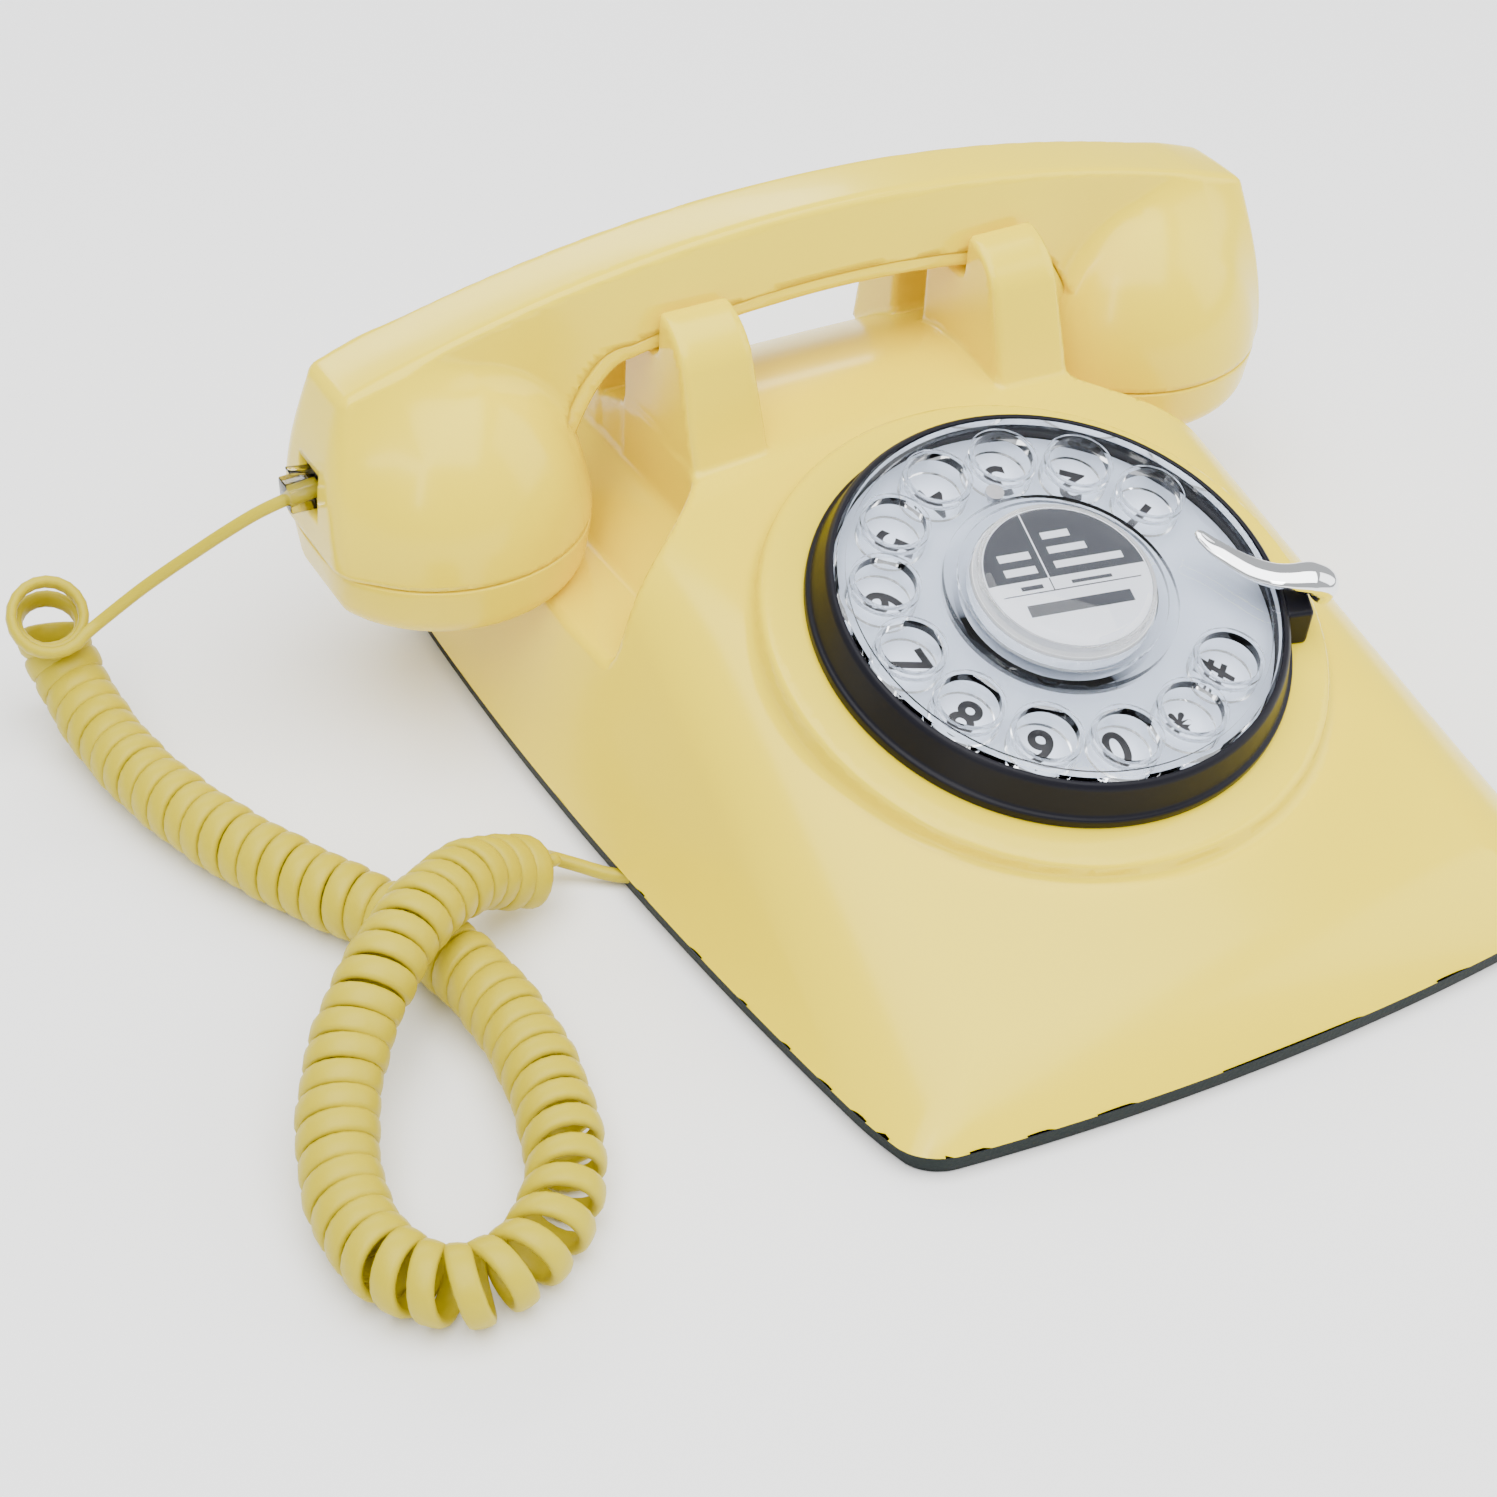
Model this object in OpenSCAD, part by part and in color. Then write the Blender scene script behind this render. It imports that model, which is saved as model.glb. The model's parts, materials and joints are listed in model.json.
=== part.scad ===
// Desk telephone with a rotary dial, a handset on a cradle and a curly cord.
// X runs to the right, Y to the back, Z up. The origin is at the bottom centre.

/* [Housing] */
// Depth of the housing from front to back
body_depth = 224; // [216:1:230]
// Half width of the housing's foot at the front
front_half_w = 77; // [72:1:80]
// Slope of the face that carries the dial
face_tilt = 18.4; // [17:0.2:20]
// Height of the face's crown line at the front edge
face_start_z = 13; // [12:0.5:14]
// Height of the saddle between the handset prongs
saddle_z = 61.5; // [60:0.5:62]
// Thickness of the moulded walls
wall = 3; // [2.5:0.5:3]
// Radius of the housing's upper edges
edge_r = 11; // [9:0.5:12]

/* [Cradle] */
// Inner face of each prong, from the centre line
prong_in = 28; // [26:0.5:29]
// Outer face of each prong, from the centre line
prong_out = 45.4; // [44:0.2:46]
// Height of the prong tips
prong_top_z = 85.5; // [84:0.5:86]
// Height of the ledge under the handset
ledge_z = 75.8; // [74:0.1:75.8]
// Floor of the side notches under the handset's cups
notch_floor_z = 32; // [31:0.5:32.5]

/* [Dial] */
// Distance of the dial's centre from the front edge, along the face
dial_along_face = 93.5; // [92:0.5:95]
// Outer radius of the black dial ring
ring_r = 49; // [48:0.5:49.5]
// Radius of the clear finger wheel
wheel_r = 44.2; // [43:0.1:44.3]
// Radius from the dial's centre to the finger holes
hole_pitch_r = 34.8; // [34.4:0.1:35]
// Radius of a finger hole
hole_r = 6.1; // [5.6:0.1:6.2]
// Number of finger holes
hole_count = 12; // [10:1:12]
// Angle between neighbouring finger holes
hole_step = 26; // [25.5:0.1:26.5]
// Angle of the first finger hole
hole_start = 27; // [26:0.5:28]
// Gap under the middle button, a little more than its travel
button_gap = 1.8; // [1.8:0.1:2]

/* [Handset] */
// Distance of each cup's axis from the centre line
cup_x = 89; // [88:0.5:90]
// Radius of the cups at their seam
cup_r = 31; // [30:0.5:31]
// Height of the seam between cup and cap
seam_z = 45; // [44.5:0.5:46]
// Height of the grip's crest at the middle
crest_z = 99.5; // [98:0.5:101]
// Height of the grip's underside at the middle
under_z = 81; // [80.5:0.5:82]

/* [Cord] */
// Outer diameter of the curly cord
coil_d = 15; // [14:0.5:15]
// Diameter of the straight leads
lead_d = 2.6; // [2.4:0.1:2.8]

/* [Hidden] */
$fn = 64;

yellow = [0.93, 0.79, 0.24];
cord_yellow = [0.78, 0.72, 0.24];
black = [0.06, 0.06, 0.07];
clear = [0.85, 0.90, 0.95, 0.45];
steel = [0.66, 0.67, 0.69];
brass = [0.80, 0.65, 0.30];

front_y = -body_depth / 2;
back_y = body_depth / 2;
shell_bottom_z = 4.9;
base_bottom_z = 1.5;
face_slope = tan(face_tilt);
handset_y = 71;
prong_y = 40;

// Plan of the foot: half width at a station, widest two thirds of the way back
function foot_t(y) = (y - front_y) / 162;
function foot_half(y) = front_half_w + 24.2 * foot_t(y) - 13 * pow(foot_t(y), 2);
// Plan of the crest, where the face would meet the side
function crest_half(y) = 70 - 8.6 * (y - front_y) / 152;
// Height of the face above its own crown drop
function face_z(y) = face_start_z + (y - front_y) * face_slope;
function crown_drop(x) = 1.2 * pow(x / 40, 2);
function top_z(y) = min(face_z(y), saddle_z + 1);
// How far the front edge falls back at x
function front_sag(x) = 6 * pow(x / front_half_w, 2);

// ---- Housing ----

// One rounded corner ball under the top surface at a station
module top_ball(x, y, z, r) {
    translate([x, y, z]) sphere(r = r, $fn = 32);
}

// Convex block of the housing with its walls moved in by inset
module body_block(inset) {
    r = edge_r - inset;
    slope_r = edge_r / cos(face_tilt);
    rear_top_y = 78;
    rear_low_z = 34;
    difference() {
        hull() {
            for (u = [-1:0.5:1]) {
                for (y = [-99.5, -40, 34]) {
                    lean = (foot_half(y) - crest_half(y)) / (top_z(y) - shell_bottom_z);
                    side = crest_half(y) - edge_r * (sqrt(1 + lean * lean) - lean);
                    lift = y < -90 ? 0.5 : 0;
                    top_ball(u * side, y + (y < -90 ? front_sag(u * side) : 0),
                        top_z(y) - crown_drop(u * side) - slope_r + lift, r);
                }
                top_ball(u * 52, rear_top_y, saddle_z - crown_drop(u * 40) - edge_r, r);
                top_ball(u * 67, back_y - edge_r, rear_low_z - edge_r - 1, r);
            }
            for (s = [-1, 1]) {
                for (y = [-98, -60, -20, 20, 60, back_y - edge_r])
                    translate([s * (foot_half(y) - edge_r), y + (y < -90 ? 6 : 0), shell_bottom_z - inset - 1])
                        cylinder(r = r, h = 1.5, $fn = 32);
            }
            translate([-20, front_y + edge_r, shell_bottom_z - inset - 1])
                cylinder(r = r, h = 1.5, $fn = 32);
            translate([20, front_y + edge_r, shell_bottom_z - inset - 1])
                cylinder(r = r, h = 1.5, $fn = 32);
        }
        if (inset == 0)
            translate([-150, -150, -50]) cube([300, 300, 50 + shell_bottom_z]);
    }
}

// Space cut out of the block for one cup of the handset, side = -1 or 1
module cup_notch(side, grow) {
    intersection() {
        translate([0, 150, 0]) rotate([90, 0, 0]) linear_extrude(height = 150)
            polygon([
                [side * (prong_out - grow), 95],
                [side * (prong_out - grow), 44 - grow],
                [side * (prong_out + 13), notch_floor_z - grow],
                [side * 130, notch_floor_z - grow],
                [side * 130, 95]
            ]);
        union() {
            translate([side * cup_x, handset_y, 0]) cylinder(r = 54 + grow, h = 120, $fn = 96);
            translate([side * cup_x - 54 - grow, handset_y, 0]) cube([108 + 2 * grow, 60, 120]);
        }
    }
}

// Side view of the front and rear prongs, extruded across each prong
module prong_pair(side) {
    x0 = side > 0 ? prong_in : -prong_out;
    round_r = 6;
    translate([x0, 0, 0]) rotate([90, 0, 90]) linear_extrude(height = prong_out - prong_in) {
        polygon(concat(
            [[prong_y, 57], [prong_y, 62], [45.5, prong_top_z - round_r]],
            [for (a = [165:-15:90])
                [51.6 + round_r * cos(a), prong_top_z - round_r + round_r * sin(a)]],
            [[56.5, prong_top_z], [56.5, ledge_z], [71, ledge_z], [71, 57]]));
        polygon(concat(
            [[82, 50], [82, ledge_z], [85.5, ledge_z], [85.5, prong_top_z]],
            [for (a = [90:-15:15])
                [89 + round_r * cos(a), prong_top_z - round_r + round_r * sin(a)]],
            [[99, 50]]));
    }
}

// Moves its children from the dial's own frame to the face of the housing
module on_dial() {
    seat_lift = 3.3;
    translate([0, front_y + dial_along_face * cos(face_tilt), face_start_z + dial_along_face * sin(face_tilt)])
        rotate([face_tilt, 0, 0]) translate([0, 0, seat_lift]) children();
}

dial_opening_r = 38;
bezel_r = 57.5;
plate_post_r = 40;
plate_post_angles = [45, 135, 225, 315];
// Place and height of each screw post
housing_posts = [
    [-60, -80, 22], [60, -80, 22], [-68, 14, 45], [68, 14, 45], [-66, 88, 25], [66, 88, 25]
];
screw_r = 1.5;
plunger_r = 2.5;
plunger_x = 36.7;
plunger_y = 64;
jack_z = 6;
line_jack_x = 42;
stop_angle = -18;

module housing() color(yellow) difference() {
    union() {
        difference() {
            union() {
                difference() {
                    body_block(0);
                    for (s = [-1, 1]) cup_notch(s, 0);
                }
                for (s = [-1, 1]) prong_pair(s);
                on_dial() translate([0, 0, -8]) cylinder(r1 = bezel_r + 1.5, r2 = bezel_r, h = 8, $fn = 96);
            }
            difference() {
                body_block(wall);
                for (s = [-1, 1]) cup_notch(s, wall);
            }
        }
        intersection() {
            body_block(0);
            union() {
                for (p = housing_posts)
                    translate([p[0], p[1], shell_bottom_z]) cylinder(r = 4, h = p[2]);
                on_dial() for (a = plate_post_angles)
                    rotate([0, 0, a]) translate([plate_post_r, 0, -9]) cylinder(r = 3.5, h = 5);
            }
        }
    }
    on_dial() {
        translate([0, 0, -30]) cylinder(r = dial_opening_r - 2.5, h = 40);
        for (a = plate_post_angles)
            rotate([0, 0, a]) translate([plate_post_r, 0, -10]) cylinder(r = 1.2, h = 5);
    }
    for (p = housing_posts)
        translate([p[0], p[1], 0]) cylinder(r = screw_r - 0.1, h = 14);
    for (s = [-1, 1])
        translate([s * plunger_x, plunger_y, 40]) cylinder(r = plunger_r + 0.05, h = 60);
    translate([line_jack_x, back_y - 15, jack_z]) cube([16, 30, 14]);
}

// ---- Base ----

foot_points = [[-62, -84], [62, -84], [-70, 88], [70, 88]];

// Outline of the base plate, inset from the shell's foot
module foot_outline(inset) {
    r = edge_r - inset;
    side_ys = [-60, -20, 20, 60];
    xf = foot_half(-98) - edge_r;
    xb = foot_half(back_y - edge_r) - edge_r;
    polygon(concat(
        [for (a = [270:15:345]) [xf + r * cos(a), -92 + r * sin(a)]],
        [for (y = side_ys) [foot_half(y) - inset, y]],
        [for (a = [0:15:90]) [xb + r * cos(a), back_y - edge_r + r * sin(a)]],
        [for (a = [90:15:180]) [-xb + r * cos(a), back_y - edge_r + r * sin(a)]],
        [for (i = [3:-1:0]) [-foot_half(side_ys[i]) + inset, side_ys[i]]],
        [for (a = [195:15:270]) [-xf + r * cos(a), -92 + r * sin(a)]],
        [[-20, front_y + inset], [20, front_y + inset]]));
}

module base_plate() color(black) difference() {
    union() {
        translate([0, 0, base_bottom_z]) linear_extrude(height = shell_bottom_z - base_bottom_z)
            foot_outline(1.2);
        for (x = [-38, 38], y = [-12, 36])
            translate([x, y, shell_bottom_z]) cylinder(r = 3, h = 4);
    }
    for (p = housing_posts) {
        translate([p[0], p[1], 0]) cylinder(r = screw_r + 0.1, h = 10);
        translate([p[0], p[1], 0]) cylinder(r = 3.2, h = base_bottom_z + 1.7);
    }
    translate([-95, -20, 0]) cube([39, 16, 10]);
}

module rubber_feet() color([0.1, 0.1, 0.1])
    for (p = foot_points) translate([p[0], p[1], 0]) cylinder(r = 7, h = base_bottom_z);

module housing_screws() color(steel)
    for (p = housing_posts) {
        translate([p[0], p[1], base_bottom_z + 0.2]) cylinder(r = 2.9, h = 1.5);
        translate([p[0], p[1], base_bottom_z + 1.7]) cylinder(r = screw_r - 0.1, h = 10);
    }

module ballast_weight() color(steel)
    translate([-35, -78, shell_bottom_z]) cube([70, 30, 5]);

// ---- Dial ----

wheel_top_z = 9;
shaft_r = 5;
stem_r = 2.95;

module dial_ring() color(black) on_dial() rotate_extrude($fn = 128)
    polygon([
        [wheel_r + 0.6, 0], [ring_r, 0], [ring_r, 1.6], [ring_r - 1, 2.4],
        [ring_r - 2.6, 9], [ring_r - 3.2, 9.6], [wheel_r + 0.6, 9.6]
    ]);

module number_plate() color([0.86, 0.87, 0.88]) on_dial() difference() {
    cylinder(r = wheel_r + 0.4, h = 1.6, $fn = 128);
    translate([0, 0, -1]) cylinder(r = 8.5, h = 4);
}

module finger_wheel() color(clear) on_dial() difference() {
    union() {
        rotate_extrude($fn = 128) polygon([
            [shaft_r, 5.5], [shaft_r, 7.5], [18.8, 7.5], [18.8, 12], [21, 12], [21, 10.6],
            [23.5, 10.6], [23.5, wheel_top_z], [42.6, wheel_top_z], [42.6, 9.8], [wheel_r, 9.8],
            [wheel_r, 7], [23.5, 7], [20, 5.5]
        ]);
        for (i = [0:hole_count - 1])
            rotate([0, 0, hole_start + i * hole_step])
                translate([hole_pitch_r, 0, 3.4]) cylinder(r = hole_r + 1, h = 6.4);
    }
    for (i = [0:hole_count - 1])
        rotate([0, 0, hole_start + i * hole_step]) translate([hole_pitch_r, 0, 0]) cylinder(r = hole_r, h = 20);
    rotate([0, 0, 90]) translate([26.3, 0, 0]) cylinder(r = 1, h = 20);
}

module wheel_screw() color(steel) on_dial() rotate([0, 0, 90]) translate([26.3, 0, 0]) {
    translate([0, 0, wheel_top_z]) cylinder(r = 1.9, h = 0.9);
    translate([0, 0, 6.5]) cylinder(r = 1, h = wheel_top_z - 6.5);
}

module dial_shaft() color(steel) on_dial() difference() {
    translate([0, 0, -15]) cylinder(r = shaft_r, h = 22.5);
    translate([0, 0, -16]) cylinder(r = 3, h = 26);
}

module dial_plate() color(steel) on_dial() difference() {
    translate([0, 0, -10.5]) cylinder(r = 44, h = 1.5);
    translate([0, 0, -12]) cylinder(r = 7, h = 4);
    translate([27.5, 0, -12]) cylinder(r = 2.05, h = 4);
    for (a = plate_post_angles)
        rotate([0, 0, a]) translate([plate_post_r, 0, -12]) cylinder(r = 1.3, h = 4);
}

module dial_plate_screws() color(steel) on_dial() for (a = plate_post_angles)
    rotate([0, 0, a]) translate([plate_post_r, 0, 0]) {
        translate([0, 0, -12]) cylinder(r = 2.4, h = 1.5);
        translate([0, 0, -10.5]) cylinder(r = 1.2, h = 5);
    }

module dial_bush() color(brass) on_dial() difference() {
    union() {
        translate([0, 0, -11.4]) cylinder(r = 7, h = 6.4);
        translate([0, 0, -9]) cylinder(r = 8.5, h = 1);
    }
    translate([0, 0, -12]) cylinder(r = shaft_r + 0.05, h = 10);
}

// Flat spiral strip in one plane, wound outward from r0 by pitch each turn
module spiral_strip(r0, pitch, turns, thick) {
    inner = [for (a = [0:15:360 * turns]) (r0 + pitch * a / 360) * [cos(a), sin(a)]];
    outer = [for (a = [360 * turns:-15:0]) (r0 + thick + pitch * a / 360) * [cos(a), sin(a)]];
    polygon(concat(inner, outer));
}

module return_spring() color(steel) on_dial()
    translate([0, 0, -4.5]) linear_extrude(height = 3) spiral_strip(8, 2.2, 5, 0.5);

gear_module = 1;
gear_teeth = 44;
pinion_teeth = 11;
gear_centres = gear_module * (gear_teeth + pinion_teeth) / 2;

// Gear outline with straight-sided teeth, first tooth turned by turn
module gear_outline(teeth, turn) {
    root = gear_module * teeth / 2 - 1.15 * gear_module;
    tip = gear_module * teeth / 2 + 0.85 * gear_module;
    p = 360 / teeth;
    polygon([for (i = [0:teeth - 1]) each [
        root * [cos(turn + (i - 0.34) * p), sin(turn + (i - 0.34) * p)],
        tip * [cos(turn + (i - 0.12) * p), sin(turn + (i - 0.12) * p)],
        tip * [cos(turn + (i + 0.12) * p), sin(turn + (i + 0.12) * p)],
        root * [cos(turn + (i + 0.34) * p), sin(turn + (i + 0.34) * p)]
    ]]);
}

module drive_gear() color(brass) on_dial() translate([0, 0, -14.5]) difference() {
    linear_extrude(height = 2) gear_outline(gear_teeth, 0);
    translate([0, 0, -1]) cylinder(r = shaft_r, h = 4);
}

module governor_pinion() color(brass) on_dial() translate([gear_centres, 0, 0]) {
    translate([0, 0, -14.5]) linear_extrude(height = 2) gear_outline(pinion_teeth, 180 + 180 / pinion_teeth);
    translate([0, 0, -22]) cylinder(r = 2, h = 7.5);
    translate([0, 0, -12.5]) cylinder(r = 2, h = 4.5);
    translate([-7, -1.5, -19]) cube([14, 3, 2]);
}

module governor_drum() color(steel) on_dial() translate([gear_centres, 0, -20.3]) difference() {
    cylinder(r = 9.5, h = 4.4);
    translate([0, 0, 0.8]) cylinder(r = 8.3, h = 4);
    translate([0, 0, -1]) cylinder(r = 2.05, h = 4);
}

module governor_bridge() color(steel) on_dial() difference() {
    union() {
        translate([12, -6, -22]) cube([26, 12, 1.7]);
        for (y = [-12, 12]) translate([36, y, -22]) cylinder(r = 2.2, h = 11.5);
        translate([34, -12, -22]) cube([4, 24, 1.7]);
    }
    translate([gear_centres, 0, -23]) cylinder(r = 2.05, h = 4);
}

module button_cap() color([0.92, 0.92, 0.93]) on_dial()
    translate([0, 0, 7.5 + button_gap]) cylinder(r = 18.4, h = 5 - button_gap, $fn = 96);

// Pin that runs down the hollow dial shaft to the button's switch
module button_stem() color([0.92, 0.92, 0.93]) on_dial()
    translate([0, 0, -17.5]) cylinder(r = stem_r, h = 25 + button_gap);

module label_card() color([0.25, 0.26, 0.29]) on_dial()
    translate([0, 0, 12.5]) cylinder(r = 17.4, h = 0.3, $fn = 96);

module label_window() color(clear) on_dial() rotate_extrude($fn = 96)
    polygon([[0, 12.8], [17.4, 12.8], [17.4, 12.5], [18.4, 12.5], [18.4, 13.2], [17.6, 13.8], [0, 14]]);

module button_switch() color([0.12, 0.25, 0.14]) on_dial() {
    translate([-5, -28, -26]) cube([10, 56, 1.5]);
    translate([-3, -3, -24.5]) cube([6, 6, 5]);
    for (s = [-1, 1]) translate([0, s * 25.5, -26]) cylinder(r = 1.8, h = 15.5);
}

// Points of the chrome hook from its foot on the bracket to its tip over the holes
stop_path = [
    [56, 0, 9.4], [56, 0, 12.4], [54, 0, 15], [50.5, 0.5, 16], [46.5, 2, 15.4], [43, 4, 14.2],
    [39.5, 6.8, 13.2], [36.5, 9, 12.6], [33.5, 10.2, 12.4], [30.5, 10.4, 12.4]
];

module finger_stop() color([0.8, 0.8, 0.82]) on_dial() rotate([0, 0, stop_angle])
    sweep(stop_path, [for (i = [0:len(stop_path) - 1]) 2.6 - 0.13 * i], 10);

module finger_stop_bracket() color(black) on_dial() rotate([0, 0, stop_angle]) difference() {
    translate([ring_r + 0.1, -7, 0]) cube([10, 14, 9.4]);
    translate([56, 0, 3]) cylinder(r = 1.3, h = 10);
}

module finger_stop_screw() color(steel) on_dial() rotate([0, 0, stop_angle])
    translate([56, 0, 3]) cylinder(r = 1.3, h = 6.4);

// ---- Cradle switch ----

bar_z = 46;
spring_z = 30;
frame_top_z = shell_bottom_z + 1.5;

module hook_plungers() color([0.9, 0.9, 0.9]) for (s = [-1, 1])
    translate([s * plunger_x, plunger_y, bar_z + 4]) cylinder(r = plunger_r, h = 27.4);

module hook_bar() color(black)
    translate([-40.5, plunger_y - 4, bar_z]) cube([81, 8, 4]);

module hook_post() color(black) translate([-24, plunger_y, frame_top_z]) {
    cylinder(r = 5, h = spring_z - frame_top_z);
    cylinder(r = 2.2, h = 31);
}

module hook_spring() color(steel) translate([-24, plunger_y, spring_z]) difference() {
    cylinder(r = 4, h = bar_z - spring_z);
    translate([0, 0, -1]) cylinder(r = 3, h = 20);
}

module hook_switch() color([0.15, 0.15, 0.17]) translate([14, plunger_y - 3, 0]) {
    translate([0, 0, 34]) cube([20, 6, 10]);
    translate([14, 1.5, 44]) cube([3, 3, 1.6]);
    translate([2, 0, frame_top_z]) cube([3, 6, 34 - frame_top_z]);
}

// ---- Electronics and bell ----

module circuit_board() color([0.10, 0.35, 0.18]) {
    translate([-44, -18, 8.9]) cube([88, 60, 1.6]);
    translate([-34, -8, 10.5]) cube([14, 14, 2]);
    translate([-10, 20, 10.5]) cube([22, 9, 3]);
    translate([24, 22, 10.5]) cylinder(r = 3, h = 8);
}

module loudspeaker() color([0.2, 0.2, 0.22]) translate([56, -32, shell_bottom_z]) {
    cylinder(r = 14, h = 3);
    cylinder(r = 8, h = 8);
}

gong_x = 20;
gong_y = 88;
clapper_y = 76;

module ringer_frame() color(steel) {
    translate([-30, 54, shell_bottom_z]) cube([60, 42, 1.5]);
    for (s = [-1, 1]) translate([s * gong_x, gong_y, shell_bottom_z]) cylinder(r = 3, h = 17);
    translate([0, clapper_y, shell_bottom_z]) cylinder(r = 1.5, h = 16);
}

module bell_gongs() color(brass) for (s = [-1, 1]) translate([s * gong_x, gong_y, 0])
    rotate_extrude() polygon([
        [1.3, 21.9], [5, 21.9], [9.5, 20.4], [12.6, 17.4], [14, 13.4], [15, 13.4],
        [13.6, 18], [10.2, 21.6], [5.4, 23.2], [1.3, 23.2]
    ]);

module gong_screws() color(steel) for (s = [-1, 1]) translate([s * gong_x, gong_y, 0]) {
    translate([0, 0, 21.9]) cylinder(r = 1.3, h = 1.3);
    translate([0, 0, 23.2]) cylinder(r = 2.8, h = 1.4);
}

module ringer_coil() color([0.55, 0.25, 0.12]) translate([-9, 58.5, shell_bottom_z + 1.5 + 7]) {
    rotate([0, 90, 0]) cylinder(r = 6, h = 18);
    translate([-1.5, -4, -7]) cube([1.5, 8, 11]);
    translate([18, -4, -7]) cube([1.5, 8, 11]);
}

module clapper() color(steel) translate([0, clapper_y, 0]) {
    difference() {
        union() {
            translate([0, 0, 14]) cylinder(r = 3, h = 3);
            translate([-0.8, 0, 14.8]) cube([1.6, 10, 1.4]);
            translate([-0.8, -8.5, 14.8]) cube([1.6, 6, 1.4]);
        }
        translate([0, 0, 10]) cylinder(r = 1.55, h = 10);
    }
    translate([0, gong_y - clapper_y, 15.5]) sphere(r = 3);
}

// ---- Sockets ----

module line_jack() color(black) translate([line_jack_x, back_y - 15, jack_z]) difference() {
    cube([16, 14.5, 14]);
    translate([2, 3, 2.5]) cube([12, 20, 9]);
}

module base_jack() color(black) translate([-72, -18, 1.8]) difference() {
    cube([16, 12, 10.2]);
    translate([-1, 2.6, 0.6]) cube([10, 6.8, 5.8]);
}

module base_plug() color(clear) translate([-79, -15.3, 2.5]) cube([15.9, 6.6, 5.6]);

// ---- Handset ----

function crest_at(x) = crest_z - 0.0019 * x * x;
function under_at(x) = under_z - 0.0022 * min(abs(x), 46) * min(abs(x), 46)
    - (abs(x) > 46 ? 0.09 * pow(abs(x) - 46, 2) : 0);
// Half widths of the grip at its underside and its crest
function grip_low(x) = 13 + 11 * pow(abs(x) / 100, 3);
function grip_high(x) = 8.5 + 7 * pow(abs(x) / 100, 2);
strip_h = 3;

// One closed section of the grip between two heights
function grip_ring(x, z0, z1, w0, w1, cut) = [
    [x, handset_y + w0, z0], [x, handset_y - w0, z0],
    [x, handset_y - w1, z1 - cut], [x, handset_y - w1 + cut * 1.4, z1],
    [x, handset_y + w1 - cut * 1.4, z1], [x, handset_y + w1, z1 - cut]
];

// Closed skin over a list of rings that all have the same number of points
module loft(rings) {
    n = len(rings[0]);
    m = len(rings);
    points = [for (r = rings) each r];
    sides = [for (i = [0:m - 2], j = [0:n - 1])
        [i * n + j, i * n + (j + 1) % n, (i + 1) * n + (j + 1) % n, (i + 1) * n + j]];
    caps = [[for (j = [n - 1:-1:0]) j], [for (j = [0:n - 1]) (m - 1) * n + j]];
    polyhedron(points = points, faces = concat(sides, caps), convexity = 8);
}

module cup_dome(side, inset) translate([side * cup_x, handset_y, 0]) rotate_extrude($fn = 96)
    polygon([
        [0, seam_z - (inset > 0 ? 1 : 0)], [cup_r - inset, seam_z - (inset > 0 ? 1 : 0)],
        [cup_r - 0.4 - inset, 54], [cup_r - 2.2 - inset, 62], [cup_r - 6 - inset, 70],
        [cup_r - 12 - inset, 77 - inset * 0.7], [cup_r - 20 - inset, 82 - inset], [0, 84.5 - inset]
    ]);

module handset_shell() color(yellow) difference() {
    union() {
        loft([for (x = [-112:4:112]) grip_ring(x, max(under_at(x) + strip_h, 60), crest_at(x),
            grip_low(x) - (abs(x) > 100 ? 5 : 0), grip_high(x) - (abs(x) > 100 ? 2 : 0), 1.5)]);
        for (s = [-1, 1]) cup_dome(s, 0);
    }
    for (s = [-1, 1]) cup_dome(s, wall);
    translate([-125, handset_y - 6, 52]) cube([19, 12, 12]);
}

module handset_grip() color(yellow)
    loft([for (x = [-52:4:52]) grip_ring(x, under_at(x), under_at(x) + strip_h,
        grip_low(x) - 1.6, grip_low(x), 0)]);

module cap_shell(side) translate([side * cup_x, handset_y, 0]) difference() {
    rotate_extrude($fn = 96) polygon([
        [0, 34], [cup_r - 5, 34], [cup_r - 3, 35], [cup_r - 0.2, seam_z - 0.4], [cup_r - 0.4, seam_z],
        [cup_r - wall - 0.4, seam_z], [cup_r - wall - 0.4, seam_z + 4], [cup_r - wall - 2, seam_z + 4],
        [cup_r - wall - 2.6, 37], [0, 37]
    ]);
    translate([0, 0, 30]) cylinder(r = 1.2, h = 10, $fn = 24);
    for (a = [0:60:300]) rotate([0, 0, a]) translate([7, 0, 30]) cylinder(r = 1.2, h = 10, $fn = 24);
}

module ear_cap() color(yellow) cap_shell(1);
module mouth_cap() color(yellow) cap_shell(-1);

module ear_capsule() color([0.3, 0.3, 0.32]) translate([cup_x, handset_y, 37]) {
    cylinder(r = 22, h = 7);
    cylinder(r = 14, h = 15);
}

module mouth_capsule() color([0.3, 0.3, 0.32]) translate([-cup_x, handset_y, 37]) {
    cylinder(r = 20, h = 7);
    cylinder(r = 8, h = 15);
}

module handset_weight() color(steel)
    for (s = [-1, 1]) translate([s * cup_x, handset_y, 52]) cylinder(r = 13, h = 5);

module handset_jack() color(black) translate([-118.5, handset_y - 6, 52]) difference() {
    cube([12.5, 12, 12]);
    translate([-1, 2.6, 3.1]) cube([10, 6.8, 5.8]);
}

module handset_plug() color(clear) translate([-124, handset_y - 3.3, 55.2]) cube([14.4, 6.6, 5.6]);

// ---- Cord ----

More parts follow.
